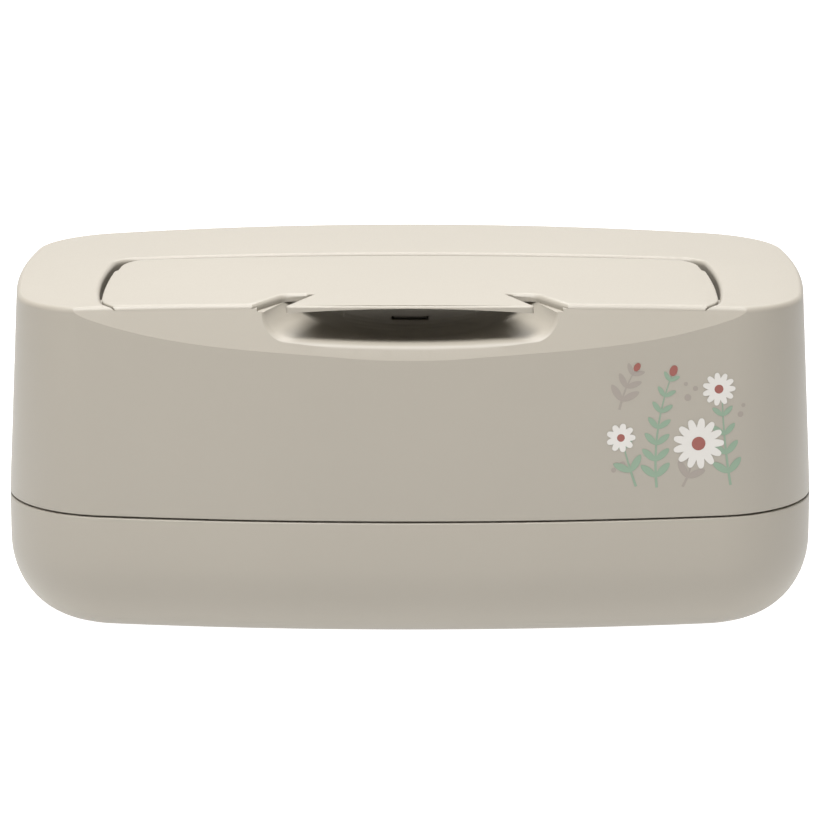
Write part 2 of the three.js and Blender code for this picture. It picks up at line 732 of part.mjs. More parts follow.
/** The room a lug needs in the flap, shut or open. */
function lugRoom(x) {
  const radius = hingeLugRadius + fit;
  const [from, to] = [x - hingeLugWidth / 2 - fit, x + hingeLugWidth / 2 + fit];
  return roundBar(from, to, radius, hingeY, hingeZ).add(
    block(from, hingeY - radius, underWell, to, boxDepth, hingeZ + hingeNotchRise),
  );
}

/** Places of the posts that hold the liner. */
function postPlaces() {
  const [x, y] = [postSpacingX / 2, postSpacingY / 2];
  return [-x, x].flatMap((px) => [openingMiddleY - y, openingMiddleY + y].map((py) => [px, py]));
}

/** The shallow arch that thins the tab from below: nothing at the tab's root, full near its front edge. */
function tabArchForm() {
  const half = tabFrontWidth / 2;
  const crest = boxHeight - crownAlong - flapThickness + tabArch;
  const span = Math.asin(half / tabArchRadius);
  const fullY = THREE.MathUtils.lerp(tabRootY, tabFrontY, tabArchShare);
  const stations = [[tabRootY, tabArch], [fullY, 0], [tabFrontY - overrun, 0]];
  const rings = stations.map(([y, sink]) => {
    const middle = crest - sink - tabArchRadius;
    const curve = arc(0, middle, tabArchRadius, Math.PI / 2 - span, Math.PI / 2 + span, filletSteps);
    const section = [...curve, new THREE.Vector2(-half, underWell), new THREE.Vector2(half, underWell)];
    return section.map((p) => new THREE.Vector3(p.x, y, p.y));
  });
  return loft(rings, (p) => new THREE.Vector2(p.x, p.z));
}

/** The flap: crowned panel with its tab, curled rear edge, posts with swaged heads, and the hook. */
function flapPanel() {
  const plan = flapPlan();
  const inside = offsetOutline(plan, -flapEdgeChamfer);
  const edges = loft([
    ring(plan, underWell),
    ring(plan, (x, y) => crownHeight(x, y) - flapEdgeChamfer),
    ring(inside, crownHeight),
    ring(inside, skyHeight),
  ]);
  const front = block(-boxWidth, -boxDepth, 0, boxWidth, hingeY, skyHeight);
  const slab = coverForm(0, coverBottom).subtract(underFlap(0)).intersect(front);
  let flap = slab.add(flapCurl()).intersect(edges).subtract(tabArchForm());
  for (const [x, y] of postPlaces()) {
    const top = crownHeight(x, y) - flapThickness / 2;
    const head = linerBottom - fit;
    flap = flap
      .add(upright(x, y, postBossRadius, linerTop + fit, top))
      .add(upright(x, y, postRadius, head - postHeadHeight / 2, top))
      .add(upright(x, y, postHeadRadius, head - postHeadHeight, head, postHeadHeight / 2, 0));
  }
  const nibFront = wellFrontY + hookPlay;
  const hookFront = nibFront + hookNib;
  const nibMiddle = boxHeight - catchSlotDrop;
  const hookFoot = nibMiddle - hookNibHeight;
  const hookTop = boxHeight - flapThickness / 2 - crownAlong;
  const halfHook = hookWidth / 2;
  const nib = [
    new THREE.Vector3(0, hookFront, nibMiddle - hookNibHeight / 2),
    new THREE.Vector3(0, nibFront, nibMiddle - hookNibHeight / 4),
    new THREE.Vector3(0, nibFront, nibMiddle + hookNibHeight / 4),
    new THREE.Vector3(0, hookFront + fit, nibMiddle + hookNibHeight / 2),
  ];
  const nibEnds = [-halfHook, halfHook].map((x) => nib.map((p) => p.clone().setX(x)));
  return flap
    .add(block(-halfHook, hookFront, hookFoot, halfHook, hookFront + hookThickness, hookTop))
    .add(loft(nibEnds, (p) => new THREE.Vector2(p.y, p.z)))
    .subtract(lugRoom(-hingeSpacing / 2))
    .subtract(lugRoom(hingeSpacing / 2))
    .subtract(hingePin(-hingeSpacing / 2, running, fit))
    .subtract(hingePin(hingeSpacing / 2, running, fit));
}

/** The plate under the flap that carries the seal. */
function flapLiner() {
  const sealRim = flapSealWidth / 2 + fit;
  const opening = roundedBar(openingWidth, openingFrontY, openingRearY, openingCorner + lipWall);
  let liner = raise(offsetOutline(opening, flapSealWidth + linerMargin), linerBottom, linerTop);
  const ridges = openingRing(2 * (sealRim + linerRidge), linerBottom - linerRidgeHeight, linerBottom + fit);
  liner = liner.add(ridges.subtract(openingRing(2 * sealRim, linerBottom - overrun, linerBottom)));
  for (const [x, y] of postPlaces()) {
    liner = liner.subtract(upright(x, y, postRadius + fit, linerBottom - overrun, linerTop + overrun));
  }
  return liner;
}

/** The seal between the liner and the lip of the opening. */
function flapSeal() {
  return openingRing(flapSealWidth, sealBottom, sealTop);
}

/** A hinge pin through a lug and the ears on both sides of it, or its bore when given clearances. */
function hingePin(x, around = 0, beyond = 0) {
  const half = hingePinLength / 2 + beyond;
  return roundBar(x - half, x + half, hingePinRadius + around, hingeY, hingeZ);
}

/** A bar pressed into the underside of the plate, or the pocket round it. */
function weightBar(side, clearance) {
  const reach = barLength / 2 + clearance;
  const bar = roundedBar(barWidth + 2 * clearance, -reach, reach, barCorner);
  const bottom = plateBottom + fit;
  const made = raise(bar, bottom - 2 * clearance, bottom + barHeight + clearance);
  return made.translate((side * barSpacing) / 2, 0, 0);
}

/** The plate that rests on the wipes, with a slot to pull them through. */
function weightPlate() {
  const plan = roundedBar(plateWidth, -plateDepth / 2, plateDepth / 2, plateCorner);
  const top = plateBottom + plateThickness;
  const slot = roundedBar(plateSlotWidth, -plateSlotDepth / 2, plateSlotDepth / 2, plateSlotCorner);
  const topFace = offsetOutline(plan, -plateEdge);
  return loft([ring(plan, plateBottom), ring(plan, top - plateEdge), ring(topFace, top)])
    .add(raise(offsetOutline(slot, plateCollar), plateBottom, top + plateCollar))
    .subtract(raise(slot, plateBottom - overrun, top + overrun))
    .subtract(weightBar(-1, fit))
    .subtract(weightBar(1, fit));
}

const box = new THREE.Group();
box.name = "wet_wipes_box";
box.add(
  piece("base_tub", baseTub(), shellColour, 0.5),
  piece("rim_seal", rimSeal(), sealColour, 0.7),
  ...footPlaces().map(([name, x, y]) => piece(name, foot(x, y), footColour, 0.8)),
  piece("cover_shell", coverShell(), shellColour, 0.5),
  piece("flap_panel", flapPanel(), shellColour, 0.5),
  piece("flap_liner", flapLiner(), innerColour, 0.5),
  piece("flap_seal", flapSeal(), sealColour, 0.7),
  piece("weight_plate", weightPlate(), innerColour, 0.5),
);
for (const [name, side] of [["left", -1], ["right", 1]]) {
  box.add(
    piece(`hinge_pin_${name}`, hingePin((side * hingeSpacing) / 2), steelColour, 0.3, 1),
    piece(`weight_bar_${name}`, weightBar(side, 0), steelColour, 0.3, 1),
  );
}
export default box;
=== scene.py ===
"""The looks of a wet wipes box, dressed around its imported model.

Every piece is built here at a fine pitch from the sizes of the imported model, and stands for
the plainer solid of the same name. Sizes are in millimetres until a mesh is written in metres.
"""

from __future__ import annotations

import logging
import math
from collections.abc import Callable, Iterable, Sequence
from dataclasses import dataclass
from enum import Enum

import bpy
import numpy as np
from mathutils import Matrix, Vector
from mathutils.geometry import tessellate_polygon


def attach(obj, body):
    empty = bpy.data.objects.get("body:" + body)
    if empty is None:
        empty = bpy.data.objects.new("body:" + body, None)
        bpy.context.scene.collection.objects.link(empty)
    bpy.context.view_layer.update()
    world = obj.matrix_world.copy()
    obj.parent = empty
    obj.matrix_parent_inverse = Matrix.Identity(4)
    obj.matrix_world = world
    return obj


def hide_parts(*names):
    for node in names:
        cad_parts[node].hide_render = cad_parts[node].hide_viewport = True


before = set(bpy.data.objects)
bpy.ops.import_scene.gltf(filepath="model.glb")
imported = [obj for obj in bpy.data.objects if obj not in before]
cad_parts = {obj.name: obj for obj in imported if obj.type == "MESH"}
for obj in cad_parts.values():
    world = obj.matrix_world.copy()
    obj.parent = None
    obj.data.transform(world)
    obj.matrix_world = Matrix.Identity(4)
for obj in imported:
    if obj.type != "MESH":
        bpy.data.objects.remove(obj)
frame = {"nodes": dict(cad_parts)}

LOG = logging.getLogger("wipes_box")
METRES = 0.001
QUARTER_TURN = math.pi / 2
FULL_TURN = 2 * math.pi
Point2 = tuple[float, float]
Point3 = tuple[float, float, float]
Corner = tuple[float, float, float]
Height = Callable[[float, float], float]
Material = bpy.types.Material
Piece = bpy.types.Object


class Cut(Enum):
    """What a solid does to another one."""

    JOIN = "UNION"
    TAKE = "DIFFERENCE"
    KEEP = "INTERSECT"


class Side(Enum):
    """Left or right half of the box, as a sign along X."""

    LEFT = -1
    RIGHT = 1


@dataclass(frozen=True)
class BoxForm:
    """Sizes of the box that its pieces share, with the surfaces that they give."""

    width: float = 240.0
    depth: float = 134.0
    height: float = 102.0
    seam: float = 38.7
    seam_gap: float = 0.5
    face_radius: float = 620.0
    end_radius: float = 290.0
    seam_corner: float = 34.0
    top_corner: float = 26.0
    lean: float = 3.2
    crown_across: float = 2.6
    crown_along: float = 1.0
    top_edge: float = 1.6
    seam_edge: float = 0.5
    wall: float = 2.4
    fit: float = 0.3
    facet_setback: float = 6.6
    facet_lean: float = math.radians(24.3)
    facet_flat: float = 20.0  # where the facet starts to sweep back, from the middle
    facet_end: float = 105.0  # where it stops
    facet_sweep: float = 3.0
    facet_edge: float = 2.1
    settle: float = 0.01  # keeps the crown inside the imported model
    overrun: float = 8.0  # how far what cuts stands past what it cuts
    clear: float = 1.0  # keeps the ends of two cuts apart
    corner_steps: int = 22
    face_steps: int = 32
    end_steps: int = 12

    @property
    def half_width(self) -> float:
        """Half of the top's width."""
        return self.width / 2 - self.lean

    @property
    def half_depth(self) -> float:
        """Half of the top's depth."""
        return self.depth / 2 - self.lean

    @property
    def facet_y(self) -> float:
        """Where the facet meets the top in the middle."""
        return self.facet_setback - self.half_depth

    @property
    def cover_bottom(self) -> float:
        """Height of the cover's lower edge."""
        return self.seam + self.seam_gap / 2

    @property
    def sky(self) -> float:
        """A height above everything."""
        return self.height + self.overrun

    def crown(self, x: float, y: float) -> float:
        """Height of the crowned top over a place.

        Args:
            x: Place across the box.
            y: Place from front to back.

        Returns:
            The height of the top's surface there.
        """
        across = self.crown_across * (x / self.half_width) ** 2
        return self.height - across - self.crown_along * (y / self.half_depth) ** 2 - self.settle

    def facet(self, z: float) -> float:
        """Place of the facet's plane at a height."""
        return self.facet_y - math.tan(self.facet_lean) * (self.height - z)

    def facet_swept(self, x: float) -> float:
        """How far the facet sweeps back, past its flat middle, at a place across the box."""
        share = min(1.0, max(0.0, (abs(x) - self.facet_flat) / (self.facet_end - self.facet_flat)))
        return self.facet_sweep * share**2 * (3.0 - 2.0 * share)

    def lean_at(self, z: float) -> float:
        """Share of the cover's lean at a height, from 0 at the seam to 1 at the top."""
        return (z - self.seam) / (self.height - self.seam)

    def outline(self, inset: float, lean: float) -> list[Point2]:
        """Plan of the box, counter-clockwise from the middle of the right end.

        Args:
            inset: Parallel distance inside the seam's outline.
            lean: 0 at the seam and 1 at the top.

        Returns:
            The points of the plan.
        """
        half_width = self.width / 2 - inset - lean * self.lean
        half_depth = self.depth / 2 - inset - lean * self.lean
        corner = self.seam_corner + lean * (self.top_corner - self.seam_corner) - inset
        face, end = self.face_radius - inset, self.end_radius - inset
        face_at = np.array([0.0, half_depth - face])
        end_at = np.array([half_width - end, 0.0])
        apart = float(np.linalg.norm(end_at - face_at))
        unit = (end_at - face_at) / apart
        along = ((face - corner) ** 2 - (end - corner) ** 2 + apart**2) / (2 * apart)
        aside = math.sqrt((face - corner) ** 2 - along**2)
        centre = face_at + unit * along + np.array([unit[1], -unit[0]]) * aside
        end_angle = math.atan2(centre[1] - end_at[1], centre[0] - end_at[0])
        face_angle = math.atan2(centre[1] - face_at[1], centre[0] - face_at[0])
        bend = arc(end_at, end, 0.0, end_angle, self.end_steps // 2)
        bend += arc(centre, corner, end_angle, face_angle, self.corner_steps)[1:]
        bend += arc(face_at, face, face_angle, QUARTER_TURN, self.face_steps // 2)[1:]
        back = bend + [(-x, y) for x, y in reversed(bend[:-1])]
        return back + [(x, -y) for x, y in reversed(back[1:-1])]


def arc(
    centre: Sequence[float], radius: float, start: float, end: float, steps: int
) -> list[Point2]:
    """Points along an arc, both ends included.

    Args:
        centre: Centre of the arc.
        radius: Its radius.
        start: First angle, in radians.
        end: Last angle, in radians.
        steps: Number of stretches.

    Returns:
        The points.
    """
    angles = np.linspace(start, end, steps + 1)
    return [(centre[0] + radius * math.cos(a), centre[1] + radius * math.sin(a)) for a in angles]


def circle(centre: Sequence[float], radius: float, steps: int) -> list[Point2]:
    """Points round a circle."""
    return arc(centre, radius, 0.0, FULL_TURN, steps)[:-1]


def lift(outline: Iterable[Point2], height: float | Height) -> list[Point3]:
    """An outline raised to a height, which can differ from point to point.

    Args:
        outline: Points in plan.
        height: A height, or a function of place that gives it.

    Returns:
        The raised points.
    """
    return [(x, y, height(x, y) if callable(height) else height) for x, y in outline]


def rounded(corners: Sequence[Corner], steps: int = 10) -> list[Point2]:
    """A closed outline with a round at each corner.

    Args:
        corners: x, y and radius of each corner, counter-clockwise.
        steps: Stretches in each round.

    Returns:
        The points of the outline.
    """
    outline: list[Point2] = []
    for i, (x, y, radius) in enumerate(corners):
        here = np.array([x, y])
        back = np.array(corners[i - 1][:2]) - here
        onward = np.array(corners[(i + 1) % len(corners)][:2]) - here
        back, onward = back / np.linalg.norm(back), onward / np.linalg.norm(onward)
        if radius == 0:
            outline.append((x, y))
            continue
        half = math.acos(max(-1.0, min(1.0, float(back @ onward)))) / 2
        middle = back + onward
        centre = here + middle / np.linalg.norm(middle) * radius / math.sin(half)
        start = here + back * radius / math.tan(half) - centre
        sense = math.copysign(1.0, onward[0] * back[1] - onward[1] * back[0])
        angle = math.atan2(start[1], start[0])
        outline += arc(centre, radius, angle, angle + sense * (math.pi - 2 * half), steps)
    return outline


def mirrored(right: Sequence[Corner]) -> list[Corner]:
    """Corners of a symmetrical outline, from its right side listed from front to back."""
    return [*right, *[(-x, y, radius) for x, y, radius in reversed(right)]]


def slab_outline(width: float, front: float, rear: float, radius: float) -> list[Point2]:
    """A rounded rectangle centred on the Y axis."""
    return rounded(mirrored([(width / 2, front, radius), (width / 2, rear, radius)]))


def offset(outline: Sequence[Point2], distance: float) -> list[Point2]:
    """An outline moved outwards, or inwards by a negative distance.

    Args:
        outline: Points, counter-clockwise.
        distance: How far it moves.

    Returns:
        As many points, moved.
    """
    points = np.array(outline)
    one = points - np.roll(points, 1, axis=0)
    two = np.roll(points, -1, axis=0) - points
    one /= np.linalg.norm(one, axis=1)[:, None]
    two /= np.linalg.norm(two, axis=1)[:, None]
    outward = np.stack([one[:, 1] + two[:, 1], -one[:, 0] - two[:, 0]], axis=1)
    outward /= np.linalg.norm(outward, axis=1)[:, None]
    spread = np.maximum(outward[:, 0] * one[:, 1] - outward[:, 1] * one[:, 0], math.sqrt(0.5))
    return [tuple(p) for p in points + outward * (distance / spread)[:, None]]


def quarter(radius: float, steps: int = 6) -> list[Point2]:
    """Inset and drop of each step of a round edge, from its side to its top."""
    turns = np.linspace(0.0, QUARTER_TURN, steps + 1)
    return [(radius * (1 - math.cos(a)), radius * (1 - math.sin(a))) for a in turns]


class Solid:
    """A closed mesh in millimetres that others are joined to or taken from."""

    def __init__(self, vertices: Sequence[Point3], faces: Sequence[Sequence[int]]) -> None:
        """Makes the mesh.

        Args:
            vertices: Its points.
            faces: Its faces, as indices of points, facing out.
        """
        mesh = bpy.data.meshes.new("blank")
        mesh.from_pydata([tuple(map(float, v)) for v in vertices], [], [list(f) for f in faces])
        mesh.validate()
        self.thing = bpy.data.objects.new("blank", mesh)
        bpy.context.scene.collection.objects.link(self.thing)

    @classmethod
    def loft(cls, rings: Sequence[Sequence[Point3]], flat: tuple[int, int] = (0, 1)) -> Solid:
        """A closed surface over rings of equal counts.

        Args:
            rings: The rings, in order.
            flat: Which two coordinates lay the end rings flat.

        Returns:
            The solid.
        """
        count = len(rings[0])
        first = np.array(rings[0])[:, flat]
        after = np.roll(first, -1, axis=0)
        area = float(np.sum(first[:, 0] * after[:, 1] - after[:, 0] * first[:, 1]))
        ordered = [list(r) for r in rings] if area > 0 else [list(reversed(r)) for r in rings]
        vertices = [p for r in ordered for p in r]
        faces: list[Sequence[int]] = []
        for r in range(len(ordered) - 1):
            for i in range(count):
                here, onward = r * count + i, r * count + (i + 1) % count
                faces.append((here, onward, onward + count, here + count))
        last = (len(ordered) - 1) * count
        # The ends can be concave, so they are closed with triangles and not with one face each.
        for ring, base, turned in ((ordered[0], 0, True), (ordered[-1], last, False)):
            plan = [Vector((p[flat[0]], p[flat[1]], 0.0)) for p in ring]
            for a, b, c in tessellate_polygon([plan]):
                (ax, ay), (bx, by), (cx, cy) = (plan[k].xy for k in (a, b, c))
                direct = (bx - ax) * (cy - ay) - (cx - ax) * (by - ay) > 0
                a, b, c = (base + a, base + b, base + c)
                faces.append((a, b, c) if direct != turned else (a, c, b))
        return cls(vertices, faces).outward()

    @classmethod
    def raised(cls, outline: Sequence[Point2], low: float, high: float) -> Solid:
        """An outline in plan, raised from one height to another."""
        return cls.loft([lift(outline, low), lift(outline, high)])

    @classmethod
    def pillow(
        cls, outline: Sequence[Point2], low: float, high: float, under: float, over: float
    ) -> Solid:
        """An outline raised between two heights, with round edges.

        Args:
            outline: The widest plan.
            low: Height of the underside.
            high: Height of the top.
            under: Radius of the lower edge, negative where it flares as the rim of a hole does.
            over: Radius of the upper edge, negative where it flares.

        Returns:
            The solid.
        """
        rings = []
        for end, radius, sense in ((low, under, -1), (high, over, 1)):
            steps = [
                lift(offset(outline, -math.copysign(inset, radius)), end - sense * drop)
                for inset, drop in quarter(abs(radius))
            ]
            rings += steps if sense > 0 else steps[::-1]
        return cls.loft(rings)

    @classmethod
    def band(
        cls, middle: Sequence[Point2], width: float, low: float, high: float, edge: float
    ) -> Solid:
        """A ring of a stated width on a closed line, with round edges."""
        ring = cls.pillow(offset(middle, width / 2), low, high, edge, edge)
        return ring.take(cls.pillow(offset(middle, -width / 2), low, high, -edge, -edge))

    @classmethod
    def block(cls, low: Point3, high: Point3) -> Solid:
        """A block between two corners."""
        (x0, y0, z0), (x1, y1, z1) = low, high
        return cls.raised([(x0, y0), (x1, y0), (x1, y1), (x0, y1)], z0, z1)

    @classmethod
    def spindle(
        cls, half: float, radius: Height, y: float, z: float, steps: int = 64, stations: int = 24
    ) -> Solid:
        """A bar along X whose radius can differ from place to place.

        Args:
            half: Half of its length.
            radius: Gives the radius from a place along the bar; its second argument is not used.
            y: Place of the bar's middle.
            z: Height of the bar's middle.
            steps: Stretches round it.
            stations: Stretches along it.

        Returns:
            The solid.
        """
        rings = []
        for x in np.linspace(-half, half, stations + 1):
            rings.append([(x, py, pz) for py, pz in circle((y, z), radius(x, 0.0), steps)])
        return cls.loft(rings, flat=(1, 2))

    @classmethod
    def bar(
        cls, x0: float, x1: float, radius: float, y: float, z: float, steps: int = 40
    ) -> Solid:
        """A round bar along X between two places."""
        made = cls.spindle((x1 - x0) / 2, lambda _x, _y: radius, y, z, steps, 1)
        return made.moved(((x0 + x1) / 2, 0.0, 0.0))

    @classmethod
    def upright(cls, x: float, y: float, profile: Sequence[Point2], steps: int = 40) -> Solid:
        """A turned upright.

        Args:
            x: Place of its middle.
            y: Place of its middle.
            profile: Radius and height of each ring, from one end to the other.
            steps: Stretches round it.

        Returns:
            The solid.
        """
        return cls.loft([lift(circle((x, y), radius, steps), z) for radius, z in profile])

    def outward(self) -> Solid:
        """Turns every face out, by the sign of the enclosed volume.

        Returns:
            This solid.
        """
        mesh = self.thing.data
        mesh.calc_loop_triangles()
        points = np.zeros(len(mesh.vertices) * 3)
        mesh.vertices.foreach_get("co", points)
        corners = np.zeros(len(mesh.loop_triangles) * 3, np.int32)
        mesh.loop_triangles.foreach_get("vertices", corners)
        tri = points.reshape(-1, 3)[corners].reshape(-1, 3, 3)
        if float(np.einsum("ij,ij->", tri[:, 0], np.cross(tri[:, 1], tri[:, 2]))) < 0:
            mesh.flip_normals()
        return self

    def moved(self, by: Point3) -> Solid:
        """Moves the mesh and gives the solid back.

        Args:
            by: How far it moves along X, Y and Z.

        Returns:
            This solid, moved.
        """
        points = np.zeros(len(self.thing.data.vertices) * 3)
        self.thing.data.vertices.foreach_get("co", points)
        self.thing.data.vertices.foreach_set("co", (points.reshape(-1, 3) + np.array(by)).ravel())
        self.thing.data.update()
        return self

    def copy(self) -> Solid:
        """A solid of the same shape.

        Returns:
            The copy.
        """
        twin = Solid.__new__(Solid)
        twin.thing = self.thing.copy()
        twin.thing.data = self.thing.data.copy()
        bpy.context.scene.collection.objects.link(twin.thing)
        return twin

    def then(self, cut: Cut, other: Solid) -> Solid:
        """Joins, takes away or keeps what is shared with another solid.

        Args:
            cut: What happens.
            other: The other solid, which is used up.

        Returns:
            This solid, changed.
        """
        tool = self.thing.modifiers.new("cut", "BOOLEAN")
        tool.operation, tool.solver, tool.object = cut.value, "MANIFOLD", other.thing
        graph = bpy.context.evaluated_depsgraph_get()
        made = bpy.data.meshes.new_from_object(self.thing.evaluated_get(graph), depsgraph=graph)
        self.thing.modifiers.clear()
        old, self.thing.data = self.thing.data, made
        bpy.data.meshes.remove(old)
        other.drop()
        return self

    def add(self, other: Solid) -> Solid:
        """Joins another solid, which is used up."""
        return self.then(Cut.JOIN, other)

    def take(self, other: Solid) -> Solid:
        """Takes another solid, which is used up, away from this one."""
        return self.then(Cut.TAKE, other)

    def keep(self, other: Solid) -> Solid:
        """Keeps what this solid shares with another, which is used up."""
        return self.then(Cut.KEEP, other)

    def drop(self) -> None:
        """Removes the solid from the scene."""
        mesh = self.thing.data
        bpy.data.objects.remove(self.thing)
        bpy.data.meshes.remove(mesh)

    def finished(self, name: str, material: Material, sharp: float = 30.0) -> Piece:
        """Gives the piece, in metres, smooth but for its sharp edges.

        Args:
            name: Name of the piece.
            material: Its material.
            sharp: Angle between faces, in degrees, past which an edge stays sharp.

        Returns:
            The piece.
        """
        mesh = self.thing.data
        points = np.zeros(len(mesh.vertices) * 3)
        mesh.vertices.foreach_get("co", points)
        mesh.vertices.foreach_set("co", points * METRES)
        mesh.polygons.foreach_set("use_smooth", [True] * len(mesh.polygons))
        mesh.set_sharp_from_angle(angle=math.radians(sharp))
        mesh.materials.clear()
        mesh.materials.append(material)
        mesh.update()
        self.thing.name = mesh.name = name
        return self.thing


def placed(piece: Piece, name: str, body: str, node: str = "") -> Piece:
    """Names a piece and fastens it to a body.

    Args:
        piece: The piece.
        name: Its name.
        body: The body that it rides on.
        node: The plainer solid that it stands for, if any.

    Returns:
        The piece.
    """
    piece.name = name
    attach(piece, body)
    if node:
        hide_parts(node)
    LOG.info("%s: %d faces", name, len(piece.data.polygons))
    return piece


@dataclass(frozen=True)
class Finish:
    """A moulded or drawn finish: its colour and how the light takes it."""

    name: str
    colour: tuple[float, float, float]
    roughness: float
    metallic: float = 0.0
    specular: float = 0.5
    grain_size: float = 0.00035
    grain_depth: float = 0.000012
    tint_share: float = 0.03
    roughness_share: float = 0.08
    brushed: float = 1.0
    cloud_scale: float = 14.0
    cloud_detail: float = 3.0
    grain_detail: float = 4.0

    def material(self) -> Material:
        """Builds the material from nodes.

        Returns:
            The material.
        """
        made = bpy.data.materials.new(self.name)
        made.use_nodes = True
        tree = made.node_tree
        shader = tree.nodes["Principled BSDF"]
        shader.inputs["Metallic"].default_value = self.metallic
        shader.inputs["Specular IOR Level"].default_value = self.specular
        place = tree.nodes.new("ShaderNodeTexCoord")
        stretch = tree.nodes.new("ShaderNodeMapping")
        stretch.inputs["Scale"].default_value = (1.0 / self.brushed, 1.0, 1.0)
        tree.links.new(place.outputs["Object"], stretch.inputs["Vector"])
        cloud = self._noise(tree, stretch, self.cloud_scale, self.cloud_detail)
        tint = tree.nodes.new("ShaderNodeMix")
        tint.data_type = "RGBA"
        low, high = 1.0 - self.tint_share, 1.0 + self.tint_share
        tint.inputs["A"].default_value = (*[c * low for c in self.colour], 1.0)
        tint.inputs["B"].default_value = (*[min(1.0, c * high) for c in self.colour], 1.0)
        tree.links.new(cloud.outputs["Fac"], tint.inputs["Factor"])
        tree.links.new(tint.outputs["Result"], shader.inputs["Base Color"])
        grain = self._noise(tree, stretch, 1.0 / self.grain_size, self.grain_detail)
        gloss = tree.nodes.new("ShaderNodeMapRange")
        gloss.inputs["To Min"].default_value = self.roughness - self.roughness_share
        gloss.inputs["To Max"].default_value = self.roughness + self.roughness_share
        tree.links.new(grain.outputs["Fac"], gloss.inputs["Value"])
        tree.links.new(gloss.outputs["Result"], shader.inputs["Roughness"])
        bump = tree.nodes.new("ShaderNodeBump")
        bump.inputs["Distance"].default_value = self.grain_depth
        tree.links.new(grain.outputs["Fac"], bump.inputs["Height"])
        tree.links.new(bump.outputs["Normal"], shader.inputs["Normal"])
        return made

    @staticmethod
    def _noise(
        tree: bpy.types.NodeTree, place: bpy.types.Node, scale: float, detail: float
    ) -> bpy.types.Node:
        """A noise texture at a scale, laid out by a mapping node.

        Args:
            tree: The material's nodes.
            place: The mapping node that lays the noise out.
            scale: How fine it is.
            detail: How many finer layers it has.

        Returns:
            The noise's node.
        """
        noise = tree.nodes.new("ShaderNodeTexNoise")
        noise.inputs["Scale"].default_value = scale
        noise.inputs["Detail"].default_value = detail
        tree.links.new(place.outputs["Vector"], noise.inputs["Vector"])
        return noise


@dataclass(frozen=True)
class BowedSide:
    """Right side of a plan in the top.

    It has a front corner, a bowed side that can step in once, and a rear corner.
    """

    half_width: float
    radius: float
    widest_setback: float
    front_corner: float
    rear_corner: float
    rear_gap: float
    step: float = 0.0
    side_steps: int = 16
    corner_steps: int = 12
    rear_columns: int = 16

    def _touching(self, y: float, widest: float, reach: float) -> np.ndarray:
        """Centre of a corner at a place from front to back, which touches the side from inside."""
        inside = math.sqrt(reach**2 - (y - widest) ** 2)
        return np.array([self.half_width - self.radius + inside, y])

    def points(
        self,
        edge: float,
        front: float,
        corner: float,
        step: float,
        rear_edge: Callable[[float], float],
    ) -> list[Corner]:
        """The side, listed from front to back.

        Args:
            edge: Place of the facet's top edge.
            front: Where the side starts.
            corner: Place of the middle of the front corner.
            step: Place of the step.
            rear_edge: Gives the flap's rear edge from a place across the box.

        Returns:
            Corners without a round.
        """
        widest = edge + self.widest_setback
        centre = np.array([self.half_width - self.radius, widest])
        rear = rear_edge(self.half_width - self.rear_corner) + self.rear_gap
        fore = self._touching(corner, widest, self.radius - self.front_corner)
        stepped = self.radius - self.step
        aft = self._touching(rear - self.rear_corner, widest, stepped - self.rear_corner)
        fore_angle = math.atan2(*(fore - centre)[::-1])
        aft_angle = math.atan2(*(aft - centre)[::-1])
        step_angle = math.asin((step - widest) / self.radius)
        start = math.asin((front - fore[1]) / self.front_corner)
        restart = step_angle + self.step / self.radius
        points = [
            *arc(fore, self.front_corner, start, fore_angle, self.corner_steps),
            *arc(centre, self.radius, fore_angle, step_angle, self.side_steps)[1:],
            *arc(centre, stepped, restart, aft_angle, self.side_steps // 2)[1:],
            *arc(aft, self.rear_corner, aft_angle, QUARTER_TURN, self.corner_steps)[1:],
        ]
        for i in range(1, self.rear_columns):
            x = aft[0] * (1 - i / self.rear_columns)
            points.append((x, rear_edge(x) + self.rear_gap))
        return [(x, y, 0.0) for x, y in points]


